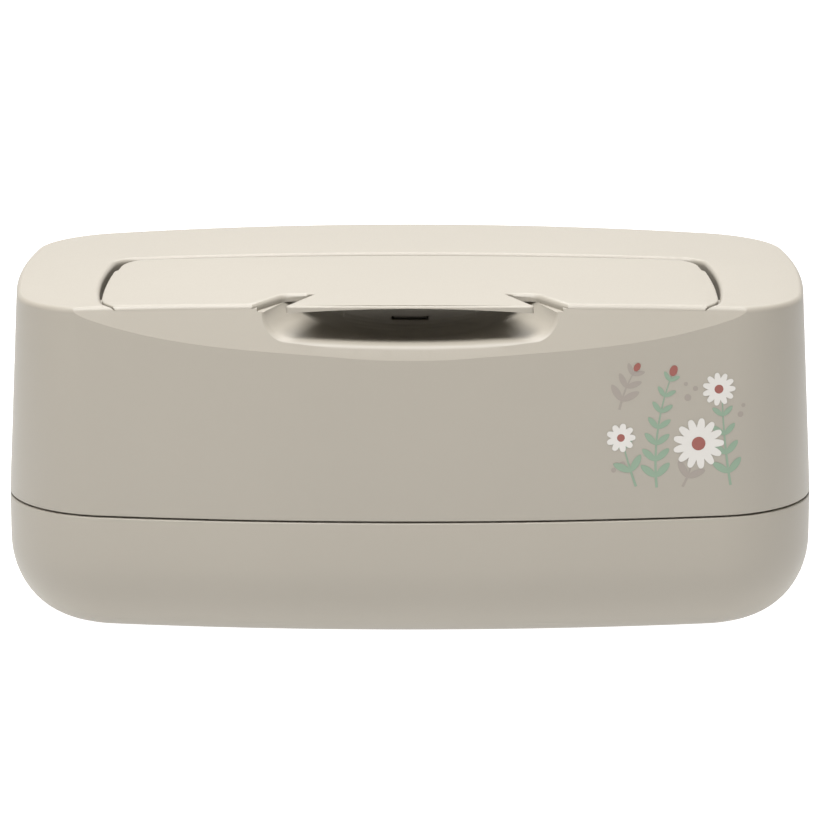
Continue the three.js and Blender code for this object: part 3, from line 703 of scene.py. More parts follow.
@dataclass
class Base:
    """The base with its rim, floor ribs and feet."""

    form: BoxForm
    round_width: float = 21.0
    round_height: float = 24.0
    foot_radius: float = 7.5
    foot_height: float = 2.3
    foot_proud: float = 1.2
    foot_edge: float = 0.6
    foot_spacing: Point2 = (150.0, 52.0)
    rim_height: float = 5.6
    rim_wall: float = 2.2
    rim_root: float = 3.4
    seal_depth: float = 1.3
    seal_height: float = 1.7
    seal_rise: float = 2.0
    rib_length: float = 120.0
    rib_width: float = 1.8
    rib_height: float = 1.0
    rib_spacing: float = 18.0
    rib_count: int = 4
    rib_end_share: float = 1 / 2.2
    seal_edge: float = 0.3
    rim_bevel_share: float = 0.3
    round_steps: int = 18
    edge_steps: int = 5

    @property
    def floor(self) -> float:
        """Height of the floor inside."""
        return self.foot_proud + self.form.wall

    @property
    def rim_inset(self) -> float:
        """Inset of the rim's outer face, which clears the leaning wall of the cover."""
        form = self.form
        return form.wall + form.fit + form.lean * self.rim_height / (form.height - form.seam)

    def _round(self, thickness: float) -> list[list[Point3]]:
        """Rings of the round under the base, at a depth in its wall.

        Args:
            thickness: Depth in the wall; 0 is the outer surface.

        Returns:
            The rings, from below.
        """
        rings, top = [], self.foot_proud + self.round_height
        for angle in np.linspace(0.0, QUARTER_TURN, self.round_steps + 1):
            inset = self.round_width - (self.round_width - thickness) * math.sin(angle)
            drop = (self.round_height - thickness) * math.cos(angle)
            rings.append(lift(self.form.outline(inset, 0.0), top - drop))
        return rings

    def _section(self) -> list[Point2]:
        """Inset and height of each ring from the seam, over the rim, to the inside wall.

        Returns:
            Inset and height of each ring.
        """
        form = self.form
        top = form.seam - form.seam_gap / 2
        edge = form.seam_edge
        rim = self.rim_inset
        inner, rim_top = rim + self.rim_wall, form.seam + self.rim_height
        groove = form.seam + self.seal_rise - form.fit
        groove_top = form.seam + self.seal_rise + self.seal_height + form.fit
        bevel = edge * self.rim_bevel_share
        return [
            *((inset, top - drop) for inset, drop in quarter(edge, self.edge_steps)),
            (rim, top),
            (rim, groove),
            (rim + self.seal_depth, groove),
            (rim + self.seal_depth, groove_top),
            (rim, groove_top),
            (rim, rim_top - edge),
            (rim + bevel, rim_top - bevel),
            (rim + edge, rim_top),
            (inner - edge, rim_top),
            (inner, rim_top - edge),
            (inner, top - self.rim_root),
            (form.wall, top - 2 * self.rim_root),
        ]

    def _places(self) -> list[tuple[str, float, float]]:
        """Name and place of each foot.

        Returns:
            Name and place of each foot.
        """
        across, along = self.foot_spacing
        return [
            (f"foot_{row}_{side.name.lower()}", side.value * across / 2, sign * along / 2)
            for row, sign in (("front", -1), ("rear", 1))
            for side in Side
        ]

    def tub(self, finish: Material) -> Piece:
        """Builds the moulded base.

        Args:
            finish: Its material.

        Returns:
            The piece.
        """
        form = self.form
        walls = [lift(form.outline(inset, 0.0), z) for inset, z in self._section()]
        tub = Solid.loft([*self._round(0.0), *walls, *reversed(self._round(form.wall))])
        for i in range(self.rib_count):
            y, half = (i - (self.rib_count - 1) / 2) * self.rib_spacing, self.rib_width / 2
            end = self.rib_width * self.rib_end_share
            rib = slab_outline(self.rib_length, y - half, y + half, end)
            tub.add(Solid.raised(rib, self.floor - form.wall / 2, self.floor + self.rib_height))
        radius = self.foot_radius + form.fit
        heights = (self.foot_proud - form.overrun, self.foot_height + form.fit)
        for _, x, y in self._places():
            tub.take(Solid.upright(x, y, [(radius, z) for z in heights]))
        return tub.finished("tub", finish)

    def foot(self, x: float, y: float, finish: Material) -> Piece:
        """Builds one soft foot with a rounded sole edge and three fine grooves across the sole.

        Args:
            x: Place of its middle.
            y: Place of its middle.
            finish: Its material.

        Returns:
            The piece.
        """
        edge, radius = self.foot_edge, self.foot_radius
        turn = [
            (radius - edge + edge * math.sin(a), edge - edge * math.cos(a))
            for a in np.linspace(0.0, QUARTER_TURN, self.edge_steps + 2)
        ]
        foot = Solid.upright(x, y, [*turn, (radius, self.foot_height)])
        for step in (-1, 0, 1):
            at, half = y + step * radius / 2, edge / 3
            low, high = (x - radius, at - half, -edge), (x + radius, at + half, edge / 2)
            foot.take(Solid.block(low, high))
        return foot.finished("sole", finish)

    def seal(self, finish: Material) -> Piece:
        """Builds the seal in the groove of the rim.

        Args:
            finish: Its material.

        Returns:
            The piece.
        """
        form = self.form
        low, width = form.seam + self.seal_rise, self.seal_depth - form.fit
        middle = form.outline(self.rim_inset + width / 2, 0.0)
        ring = Solid.band(middle, width, low, low + self.seal_height, self.seal_edge)
        return ring.finished("seal", finish)

    def dress(self, shell: Material, rubber: Material, seal: Material) -> None:
        """Puts the base's pieces in place.

        Args:
            shell: Material of the moulded base.
            rubber: Material of the feet.
            seal: Material of the seal in the rim.
        """
        placed(self.tub(shell), "base_skin", "base", "base_tub")
        placed(self.seal(seal), "rim_seal_ring", "base", "rim_seal")
        for name, x, y in self._places():
            placed(self.foot(x, y, rubber), f"{name}_pad", "base", name)


@dataclass
class Plate:
    """The weighted plate with the slot that the wipes are pulled through, and its two bars."""

    form: BoxForm
    base: Base
    margin: float = 22.0
    thickness: float = 5.0
    corner: float = 24.0
    edge: float = 1.2
    under_edge: float = 0.4
    slot: Point2 = (84.0, 26.0)
    slot_corner: float = 12.0
    slot_edge: float = 0.7
    collar: float = 1.6
    bar_size: Point2 = (22.0, 3.0)
    bar_corner: float = 2.0
    bar_edge: float = 0.3
    bar_margin: float = 11.0
    bar_inset: float = 17.0

    @property
    def bottom(self) -> float:
        """Height of the underside."""
        return self.base.floor + self.base.rib_height + self.form.fit

    def _bar(self, side: Side, clearance: float) -> tuple[list[Point2], float, float]:
        """Plan, bottom and top of a bar, or of the pocket round it.

        Args:
            side: Which bar.
            clearance: How much larger the pocket is; 0 gives the bar.

        Returns:
            Its plan, its bottom and its top.
        """
        reach = self.form.depth / 2 - self.margin - self.bar_margin + clearance
        apart = self.form.width / 2 - self.margin - self.bar_size[0] / 2 - self.bar_inset
        plan = slab_outline(self.bar_size[0] + 2 * clearance, -reach, reach, self.bar_corner)
        low = self.bottom + self.form.fit
        place = [(x + side.value * apart, y) for x, y in plan]
        return place, low - 2 * clearance, low + self.bar_size[1] + clearance

    def plate(self, finish: Material) -> Piece:
        """Builds the plate.

        Args:
            finish: Its material.

        Returns:
            The piece.
        """
        half = self.form.depth / 2 - self.margin
        plan = slab_outline(self.form.width - 2 * self.margin, -half, half, self.corner)
        slot = slab_outline(self.slot[0], -self.slot[1] / 2, self.slot[1] / 2, self.slot_corner)
        low, top = self.bottom, self.bottom + self.thickness
        lip = top + self.collar
        plate = Solid.pillow(plan, low, top, self.under_edge, self.edge)
        rim, foot = offset(slot, self.collar), low + self.under_edge
        plate.add(Solid.pillow(rim, foot, lip, self.under_edge, self.slot_edge))
        plate.take(Solid.pillow(slot, low, lip, -self.slot_edge, -self.slot_edge))
        for side in Side:
            plate.take(Solid.raised(*self._bar(side, self.form.fit)))
        return plate.finished("plate", finish)

    def dress(self, inner: Material, steel: Material) -> None:
        """Puts the plate and its bars in place.

        Args:
            inner: Material of the plate.
            steel: Material of the bars.
        """
        placed(self.plate(inner), "weight_plate_skin", "plate", "weight_plate")
        for side in Side:
            bar = Solid.pillow(*self._bar(side, 0.0), self.bar_edge, self.bar_edge)
            name = f"weight_bar_{side.name.lower()}"
            placed(bar.finished("bar", steel), f"{name}_skin", "plate", name)


@dataclass
class Cover:
    """The cover with its facet, finger recess, catch wall, well, opening and hinge lugs."""

    form: BoxForm
    flap_length: float = 68.0
    flap_plan_right: BowedSide = BowedSide(89.2, 330.0, 21.2, 15.7, 12.0, 0.0, step=0.8)
    well_plan_right: BowedSide = BowedSide(90.7, 200.0, 34.2, 15.9, 7.0, 1.0)
    side_corner_setback: float = 12.2
    side_step_setback: float = 48.7
    flap_thickness: float = 2.2
    flap_lip_thickness: float = 1.2
    flap_lip_width: float = 3.0
    flap_edge: float = 0.5
    flap_overhang: float = 0.9
    ledge_fit: float = 0.03
    curl_wall: float = 1.5
    well_rim: float = 1.4
    well_depth: float = 10.6
    tab_root_width: float = 54.8
    tab_front_width: float = 72.4
    tab_root_setback: float = 12.1
    tab_reach: float = 3.8
    tab_corner: float = 1.2
    tab_root: float = 0.4
    tab_arch_radius: float = 450.0
    tab_arch: float = 1.45
    tab_arch_share: float = 0.4
    notch_bend: Point2 = (36.4, 11.6)
    notch_bend_round: float = 3.0
    notch_flare: float = 1.4
    notch_corner: float = 4.0
    recess_width: float = 84.0
    recess_back_width: float = 72.6
    recess_depth: float = 18.2
    recess_sill: float = 11.5
    recess_height: float = 14.2
    recess_bow: float = 1.2
    recess_corner: float = 7.5
    recess_ramp: float = 18.0
    recess_ramp_inset: float = 1.7
    recess_ramp_end: float = 0.62
    recess_ramp_sharp: float = 0.7
    recess_back: float = 5.0
    recess_lip: float = 1.8
    catch_wall: float = 1.6
    catch_slot: Point2 = (10.8, 1.3)
    catch_slot_drop: float = 9.2
    catch_rib: float = 0.6
    catch_rib_spacing: float = 38.4
    catch_rib_drop: float = 3.4
    opening_width: float = 150.0
    opening_length: float = 26.0
    opening_corner: float = 9.0
    opening_setback: float = 8.5
    lip_height: float = 2.6
    lip_wall: float = 1.6
    hinge_drop: float = 4.0
    hinge_spacing: float = 90.0
    pin_radius: float = 1.1
    pin_length: float = 12.0
    pin_chamfer: float = 0.2
    running: float = 0.08
    lug_width: float = 3.2
    lug_radius: float = 2.2
    lug_rear: float = 1.2
    notch_rise: float = 2.2
    ear_width: float = 3.4
    root: float = 1.0  # how far what stands on the well's floor reaches into it
    facet_far: float = 90.0  # how far down the cut ahead of the facet reaches
    facet_rise: float = math.radians(4.0)  # lifts that cut off the top behind the facet
    facet_clear: float = 4.0  # how far the lifted part reaches back
    edge_turn: float = math.radians(82.0)  # how far a round edge in the top is turned
    edge_reach: float = 0.4  # how far it runs on from there, past the top
    sharp: float = 12.0  # keeps the facet's border crisp, in degrees
    round_steps: int = 8
    crown_steps: int = 14
    facet_stations: int = 60
    facet_passes: int = 4
    facet_round_steps: int = 10
    recess_end_steps: int = 16
    recess_floor_steps: int = 24
    pin_steps: int = 40
    pin_stations: int = 60

    @property
    def front_y(self) -> float:
        """Front edge of the flap's plan, ahead of the facet that trims it."""
        return self.form.facet_y - self.flap_overhang

    @property
    def hinge_y(self) -> float:
        """Place of the hinge line."""
        return self.form.facet_y + self.flap_length - self.hinge_drop

    @property
    def hinge_z(self) -> float:
        """Height of the hinge line."""
        return self.form.height - self.hinge_drop

    @property
    def catch_y(self) -> float:
        """Front face of the catch wall."""
        return self.form.facet_y + self.recess_depth

    @property
    def well_front(self) -> float:
        """Back face of the catch wall."""
        return self.catch_y + self.catch_wall

    @property
    def opening_front(self) -> float:
        """Front edge of the opening."""
        return self.well_front + self.opening_setback

    @property
    def opening_rear(self) -> float:
        """Rear edge of the opening."""
        return self.opening_front + self.opening_length

    @property
    def recess_reach(self) -> float:
        """Half of the recess's width at the facet, its lip included."""
        return self.recess_width / 2 + self.recess_lip

    @property
    def well_floor(self) -> float:
        """Height of the well's floor."""
        return self.form.height - self.well_depth

    @property
    def under(self) -> float:
        """A height below the well."""
        return self.form.height - 2 * self.well_depth

    def skin(self, depth: float, bottom: float) -> Solid:
        """The cover's outer form, or the form at a depth under it.

        Args:
            depth: Depth under the outer surface.
            bottom: Height at which it starts.

        Returns:
            The solid form.
        """
        form = self.form
        rings = []
        if depth == 0:
            for rise, inset in quarter(form.seam_edge, self.round_steps // 2):
                rings.append(lift(form.outline(inset, form.lean_at(bottom + rise)), bottom + rise))
        else:
            rings.append(lift(form.outline(depth, form.lean_at(bottom)), bottom))
        for inset, drop in quarter(form.top_edge, self.round_steps):
            plan = form.outline(depth + inset, 1.0)
            rings.append(lift(plan, lambda x, y, d=depth + drop: form.crown(x, y) - d))
        # Rings that shrink to the middle carry the crown.
        edge = np.array(form.outline(depth + form.top_edge, 1.0))
        for i in range(1, self.crown_steps):
            shrunk = edge * (1 - i / self.crown_steps)
            rings.append(lift([tuple(p) for p in shrunk], lambda x, y: form.crown(x, y) - depth))
        return Solid.loft(rings)

    def facet(self, behind: float) -> Solid:
        """What lies ahead of the facet, with the round of its top edge.

        Args:
            behind: How far behind the facet's surface the cut lies.

        Returns:
            The solid to take away.
        """
        form = self.form
        down = np.array([-math.sin(form.facet_lean), -math.cos(form.facet_lean)])
        normal = np.array([math.cos(form.facet_lean), -math.sin(form.facet_lean)])
        rings, side, top = [], form.half_width + form.overrun, form.sky + form.clear
        for x in np.linspace(-side, side, self.facet_stations + 1):
            # The edge lies where the facet meets the crown, which a few passes find.
            y = form.facet_y
            for _ in range(self.facet_passes):
                y = form.facet(form.crown(x, y)) + form.facet_swept(x)
            slope = math.atan(-2 * form.crown_along * y / form.half_depth**2) + self.facet_rise
            back = np.array([math.cos(slope), math.sin(slope)])
            corner = np.array([y, form.crown(x, y)])
            half = math.acos(float(down @ back)) / 2
            middle = (down + back) / np.linalg.norm(down + back)
            centre = corner + middle * form.facet_edge / math.sin(half)
            reach = form.facet_edge / math.tan(half)
            start, end = corner + down * reach - centre, corner + back * reach - centre
            first, last = math.atan2(start[1], start[0]), math.atan2(end[1], end[0])
            if first < 0:
                first += FULL_TURN
            edge = arc(centre, form.facet_edge, first, last, self.facet_round_steps)
            profile = [corner + down * self.facet_far, *map(np.array, edge)]
            profile.append(corner + back * (reach + self.facet_clear))
            profile.append(np.array([profile[-1][0], top]))
            profile += [np.array([-form.depth, z]) for z in (top, profile[0][1])]
            rings.append([(x, *(p + normal * behind)) for p in profile])
        return Solid.loft(rings, flat=(1, 2))

    def curl(self, x: float, _y: float = 0.0) -> float:
        """Radius of the flap's curled rear edge at a place across the box."""
        return self.form.crown(x, self.hinge_y) - self.hinge_z

    def rear_edge(self, x: float) -> float:
        """Rear edge of the flap at a place across the box."""
        return self.hinge_y + self.curl(x)

    def side(self, plan: BowedSide) -> list[Corner]:
        """Right side of a plan in the top, from front to back, with its rear edge.

        Args:
            plan: Sizes of the side.

        Returns:
            Corners without a round.
        """
        edge = self.form.facet_y
        corner, step = edge + self.side_corner_setback, edge + self.side_step_setback
        return plan.points(edge, self.front_y, corner, step, self.rear_edge)

    def flap_plan(self) -> list[Point2]:
        """Plan of the flap with its tab and the two notches beside it.

        Returns:
            The points of the plan.
        """
        edge = self.form.facet_y
        bend_x, bend_setback = self.notch_bend
        right = [
            (self.tab_front_width / 2, edge - self.tab_reach, self.tab_corner),
            (self.tab_root_width / 2, edge + self.tab_root_setback, self.tab_root),
            (bend_x, edge + bend_setback, self.notch_bend_round),
            (self.recess_reach + self.notch_flare, self.front_y, self.notch_corner),
            *self.side(self.flap_plan_right),
        ]
        return rounded(mirrored(right))

    def recess(self, grow: float) -> Solid:
        """The finger recess, grown by a distance.

        Args:
            grow: How far it is grown.

        Returns:
            The solid to take away.
        """
        form, rings = self.form, []
        narrowing = self.recess_width - self.recess_back_width
        stations = [
            (-form.overrun, self.recess_lip + form.overrun),
            *quarter(self.recess_lip, self.round_steps),
        ]
        for inset, drop in quarter(self.recess_back, self.round_steps):
            stations.append((self.recess_depth - drop, -inset))
        for depth, spread in stations:
            # Towards the back the ends grow from plain corners into long soft ramps.
            share = max(depth, 0.0) / self.recess_depth
            half = (self.recess_width - narrowing * share) / 2 + spread + grow
            sink = self.recess_sill + (self.recess_height - self.recess_sill) * share
            floor = form.height - sink - spread - grow
            ramp = min(share / self.recess_ramp_end, 1.0)
            ramp *= ramp * (3 - 2 * ramp)
            half -= self.recess_ramp_inset * ramp**1.5
            across = self.recess_corner + (self.recess_ramp - self.recess_corner) * ramp
            ledge = form.height - self.flap_thickness - self.recess_bow - floor - grow
            up = self.recess_corner + (ledge - self.recess_corner) * ramp + grow
            power = 2 / (2 - self.recess_ramp_sharp * ramp)
            flat = half - across - grow
            end = [
                (
                    flat + (across + grow) * math.cos(a) ** power,
                    floor + self.recess_bow + up * (1 - math.sin(a) ** power),
                )
                for a in np.linspace(0.0, QUARTER_TURN, self.recess_end_steps + 1)[:-1]
            ]
            section = [(half, form.sky), *end]
            for x in np.linspace(flat, -flat, self.recess_floor_steps + 1):
                section.append((float(x), floor + self.recess_bow * (x / flat) ** 2))
            section += [(-x, z) for x, z in reversed(end)]
            section.append((-half, form.sky))
            ring = []
            for x, z in section:
                front = form.facet(min(z, form.height)) + min(depth, 0.0)
                ring.append((x, front + (self.catch_y + grow - front) * share, z))
            rings.append(ring)
        return Solid.loft(rings, flat=(0, 2))

    def under_flap(self, clearance: float, grow: float = 0.0) -> Solid:
        """What lies deeper than the flap, or than the ledge under it.

        Args:
            clearance: Room left between the flap and what is below it.
            grow: How much deeper it starts.

        Returns:
            The solid form.
        """
        form, outer = self.form, self.recess_reach
        shell = self.skin(0.0, form.cover_bottom)
        to = form.facet_y + self.flap_lip_width - clearance
        seat = min(clearance, self.ledge_fit)
        under = shell.copy().moved((0.0, 0.0, -self.flap_thickness - seat - grow))
        lip = shell.moved((0.0, 0.0, -self.flap_lip_thickness - seat - grow))
        ends = Solid.block((-form.width, -form.depth, 0.0), (-outer, to, form.sky))
        ends.add(Solid.block((outer, -form.depth, 0.0), (form.width, to, form.sky)))
        return under.add(lip.keep(ends))

    def edge_rings(self, plan: Sequence[Point2], radius: float, sense: int) -> list[list[Point3]]:
        """Rings that round a plan's edge into the crowned top.

        Args:
            plan: The plan.
            radius: Radius of the round.
            sense: 1 where the round flares out, as at a rim, and -1 where it turns in.

        Returns:
            The rings, from below the top to above it.
        """
        form, steep, reach = self.form, self.edge_turn, self.edge_reach
        rings = [lift(plan, self.under)]
        for a in np.linspace(0.0, steep, self.round_steps + 1):
            out, drop = radius * (1 - math.cos(a)), radius * (1 - math.sin(a))
            rings.append(lift(offset(plan, sense * out), lambda x, y, d=drop: form.crown(x, y) - d))
        out = radius * (1 - math.cos(steep)) + reach * math.sin(steep)
        up = reach * math.cos(steep) - radius * (1 - math.sin(steep))
        rings.append(lift(offset(plan, sense * out), lambda x, y: form.crown(x, y) + up))
        rings.append([(x, y, form.sky) for x, y, _ in rings[-1]])
        return rings

    def well(self, grow: float) -> Solid:
        """The room for the flap: a ledge under its front, and a deep well behind the catch wall.

        Args:
            grow: How far it is grown, for the wall round it.

        Returns:
            The solid to take away.
        """
        form = self.form
        plan = rounded(mirrored(self.side(self.well_plan_right)))
        floor = Solid.block(
            (-form.width, self.well_front - grow, self.well_floor - grow),
            (form.width, form.depth, form.sky),
        )
        if grow > 0:
            over = Solid.raised(offset(plan, grow), self.under, form.sky)
        else:
            over = Solid.loft(self.edge_rings(plan, self.well_rim, 1))
        # Ahead of the catch wall only the flap's own thickness is sunk in.
        deep = over.copy().keep(floor)
        return over.take(self.under_flap(form.fit, grow)).add(deep)

    def opening(self, rounder: float = 0.0) -> list[Point2]:
        """Plan of the opening, with its corners rounder by a distance."""
        radius = self.opening_corner + rounder
        return slab_outline(self.opening_width, self.opening_front, self.opening_rear, radius)

    def lip_line(self) -> list[Point2]:
        """Line along the middle of the lip round the opening.

        Returns:
            The points of the line.
        """
        width, half = self.opening_width + self.lip_wall, self.lip_wall / 2
        front, rear = self.opening_front - half, self.opening_rear + half
        return slab_outline(width, front, rear, self.opening_corner + half)

    def opening_ring(self, width: float, low: float, high: float) -> Solid:
        """A ring round the opening, centred on the lip.

        Args:
            width: Its width in plan.
            low: Height of its underside.
            high: Height of its top.

        Returns:
            The ring.
        """
        middle, past = self.lip_line(), self.form.overrun
        hole = Solid.raised(offset(middle, -width / 2), low - past, high + past)
        return Solid.raised(offset(middle, width / 2), low, high).take(hole)

    def pin(self, side: Side, around: float = 0.0, beyond: float = 0.0) -> Solid:
        """A hinge pin, or its bore when given clearances."""
        x, half = side.value * self.hinge_spacing / 2, self.pin_length / 2 + beyond
        return Solid.bar(x - half, x + half, self.pin_radius + around, self.hinge_y, self.hinge_z)

    def turned_pin(self, side: Side, finish: Material) -> Piece:
        """Builds a hinge pin with chamfered ends.

        Args:
            side: Which pin.
            finish: Its material.

        Returns:
            The piece.
        """
        half, chamfer = self.pin_length / 2, self.pin_chamfer
        rod = Solid.spindle(
            half,
            lambda x, _y: self.pin_radius - max(0.0, abs(x) - half + chamfer),
            self.hinge_y,
            self.hinge_z,
            self.pin_steps,
            self.pin_stations,
        )
        return rod.moved((side.value * self.hinge_spacing / 2, 0.0, 0.0)).finished("pin", finish)

    def lug(self, side: Side) -> Solid:
        """A lug that stands in the well and carries a hinge pin.

        Args:
            side: Which lug.

        Returns:
            The lug.
        """
        x = side.value * self.hinge_spacing / 2
        low, high = x - self.lug_width / 2, x + self.lug_width / 2
        stem = Solid.block(
            (low, self.hinge_y - self.lug_radius, self.well_floor - self.root),
            (high, self.hinge_y + self.lug_rear, self.hinge_z),
        )
        return stem.add(Solid.bar(low, high, self.lug_radius, self.hinge_y, self.hinge_z))

    def shell(self, finish: Material) -> Piece:
        """Builds the cover.

        Args:
            finish: Its material.

        Returns:
            The piece.
        """
        form, floor = self.form, self.well_floor
        cavity = self.skin(form.wall, form.cover_bottom - form.overrun)
        cavity.take(self.facet(form.wall)).take(self.recess(self.catch_wall))
        cavity.take(self.well(form.wall))
        cover = self.skin(0.0, form.cover_bottom).take(cavity)
        cover.take(self.facet(0.0)).take(self.recess(0.0)).take(self.well(0.0))
        cover.take(Solid.raised(self.opening(), self.under, form.sky))
        cover.add(self.opening_ring(self.lip_wall, floor - self.root, floor + self.lip_height))
        for side in Side:
            x, half = side.value * self.catch_rib_spacing / 2, self.catch_rib / 2
            rib = Solid.block(
                (x - half, self.catch_y - self.catch_rib, form.height - self.catch_slot_drop),
                (x + half, self.catch_y + form.fit, form.height - self.catch_rib_drop),
            )
            cover.add(rib).add(self.lug(side)).take(self.pin(side, self.running, form.fit))
        width, tall = self.catch_slot
        low = form.height - self.catch_slot_drop - tall / 2
        slot = Solid.block(
            (-width / 2, self.catch_y - form.fit, low),
            (width / 2, self.well_front + form.fit, low + tall),
        )
        return cover.take(slot).finished("cover", finish, self.sharp)

    def dress(self, shell: Material) -> None:
        """Puts the cover in place, in its material."""
        placed(self.shell(shell), "cover_skin", "cover", "cover_shell")


@dataclass
class Flap:
    """The flap with its tab, curled rear edge, posts and hook, and what it carries."""

    form: BoxForm
    cover: Cover
    liner_thickness: float = 1.2
    liner_drop: float = 3.9
    post_radius: float = 2.0
    boss_radius: float = 3.4
    head_radius: float = 3.4
    head_height: float = 0.9
    post_spacing: Point2 = (116.0, 15.0)
    hook_width: float = 9.6
    hook_thickness: float = 1.4
    nib: float = 1.0
    nib_height: float = 0.8
    hook_play: float = 0.4
    liner_margin: float = 2.0
    liner_edge: float = 0.3
    ridge: float = 1.0
    ridge_height: float = 1.2
    seal_width: float = 3.2
    seal_edge: float = 0.8
    notch_round: float = 1.7
    notch_margin: float = 2.0
    head_turn: float = math.pi / 2.2
    head_steps: int = 6
    arch_stations: int = 8
    arch_steps: int = 40

    def _posts(self) -> list[Point2]:
        """Places of the posts that hold the liner.

        Returns:
            Place of each post.
        """
        middle = (self.cover.opening_front + self.cover.opening_rear) / 2
        across, along = self.post_spacing
        return [(i * across / 2, middle + k * along / 2) for i in (-1, 1) for k in (-1, 1)]

    def _curl(self) -> Solid:
        """The rear edge, curled round the hinge line, with ears for the pins.

        Returns:
            The curled edge.
        """
        cover, form = self.cover, self.form
        half = cover.flap_plan_right.half_width
        full = Solid.spindle(half, cover.curl, cover.hinge_y, cover.hinge_z)
        hollow = Solid.spindle(
            half + form.overrun,
            lambda x, _y: max(cover.curl(x) - cover.curl_wall, cover.running),
            cover.hinge_y,
            cover.hinge_z,
        )
        ears, reach = [], cover.lug_width / 2 + form.fit + cover.ear_width
        for side in Side:
            x = side.value * cover.hinge_spacing / 2
            band = Solid.block((x - reach, -form.depth, 0.0), (x + reach, form.depth, form.sky))
            ears.append(full.copy().keep(band))
        open_side = Solid.block(
            (-form.width, -form.depth, 0.0),
            (form.width, cover.hinge_y, form.height - self.liner_drop),
        )
        curl = full.take(hollow).take(open_side)
        for ear in ears:
            curl.add(ear)
        return curl

    def _arch(self) -> Solid:
        """The shallow arch that thins the tab from below, ahead of the root of the tab.

        Returns:
            The solid to take away.
        """
        cover, form = self.cover, self.form
        root, tip = form.facet_y + cover.tab_root_setback, form.facet_y - cover.tab_reach
        crest = form.height - cover.flap_thickness - form.crown_along + cover.tab_arch
        middle, half = crest - cover.tab_arch_radius, cover.tab_front_width / 2
        span = math.asin(half / cover.tab_arch_radius)
        ends = (QUARTER_TURN - span, QUARTER_TURN + span)
        length = (tip - root) * cover.tab_arch_share
        stations = [
            (root + length * share, cover.tab_arch * (1.0 - share) ** 2)
            for share in np.linspace(0.0, 1.0, self.arch_stations + 1)
        ]
        rings = []
        for y, sink in (*stations, (tip - form.overrun, 0.0)):
            curve = arc((0.0, middle - sink), cover.tab_arch_radius, *ends, self.arch_steps)
            ring = [(x, y, z) for x, z in curve]
            rings.append([*ring, (-half, y, cover.under), (half, y, cover.under)])
        return Solid.loft(rings, flat=(0, 2))

    def _lug_room(self, side: Side) -> Solid:
        """The room a lug needs in the flap, shut or open.

        Args:
            side: Which lug.

        Returns:
            The solid to take away.
        """
        cover, form = self.cover, self.form
        x, radius = side.value * cover.hinge_spacing / 2, cover.lug_radius + form.fit
        low, high = x - cover.lug_width / 2 - form.fit, x + cover.lug_width / 2 + form.fit
        notch = Solid.block(
            (low, cover.hinge_y - radius, cover.under),
            (high, form.depth, cover.hinge_z + cover.notch_rise),
        )
        return Solid.bar(low, high, radius, cover.hinge_y, cover.hinge_z).add(notch)

    def panel(self, finish: Material) -> Piece:
        """Builds the flap.

        Args:
            finish: Its material.

        Returns:
            The piece.
        """
        cover, form = self.cover, self.form
        edges = Solid.loft(cover.edge_rings(cover.flap_plan(), cover.flap_edge, -1))
        front = Solid.block((-form.width, -form.depth, 0.0), (form.width, cover.hinge_y, form.sky))
        slab = cover.skin(0.0, form.cover_bottom).take(cover.under_flap(0.0)).keep(front)
        # Beside the recess the facet trims the flap; between, the tab stands ahead of it.
        beside = cover.recess_reach - cover.notch_corner
        for low, high in ((-form.width, -beside), (beside, form.width)):
            span = Solid.block((low, -form.depth, 0.0), (high, form.depth, form.sky + form.clear))
            slab.take(cover.facet(0.0).keep(span))
        flap = slab.add(self._curl()).keep(edges).take(self._arch())
        liner_top = form.height - self.liner_drop
        head = liner_top - self.liner_thickness - form.fit
        for x, y in self._posts():
            top = form.crown(x, y) - cover.flap_thickness / 2
            boss = [(self.boss_radius, z) for z in (liner_top + form.fit, top)]
            dome = [
                (self.head_radius * math.cos(a), head - self.head_height * math.sin(a))
                for a in np.linspace(self.head_turn, 0.0, self.head_steps + 1)
            ]
            post = [*dome, (self.post_radius, head), (self.post_radius, top)]
            flap.add(Solid.upright(x, y, boss)).add(Solid.upright(x, y, post))
        nib_front = cover.well_front + self.hook_play
        hook_front, half = nib_front + self.nib, self.hook_width / 2
        level = form.height - cover.catch_slot_drop
        hook_top = form.height - cover.flap_thickness / 2 - form.crown_along
        hook = Solid.block(
            (-half, hook_front, level - self.nib_height),
            (half, hook_front + self.hook_thickness, hook_top),
        )
        nib = [
            (hook_front, level - self.nib_height / 2),
            (nib_front, level - self.nib_height / 4),
            (nib_front, level + self.nib_height / 4),
            (hook_front + form.fit, level + self.nib_height / 2),
        ]
        ends = [[(x, y, z) for y, z in nib] for x in (-half, half)]
        flap.add(hook).add(Solid.loft(ends, flat=(1, 2)))
        for side in Side:
            flap.take(self._lug_room(side)).take(cover.pin(side, cover.running, form.fit))
            flap.take(self._notch_edge(side))
        return flap.finished("flap", finish)

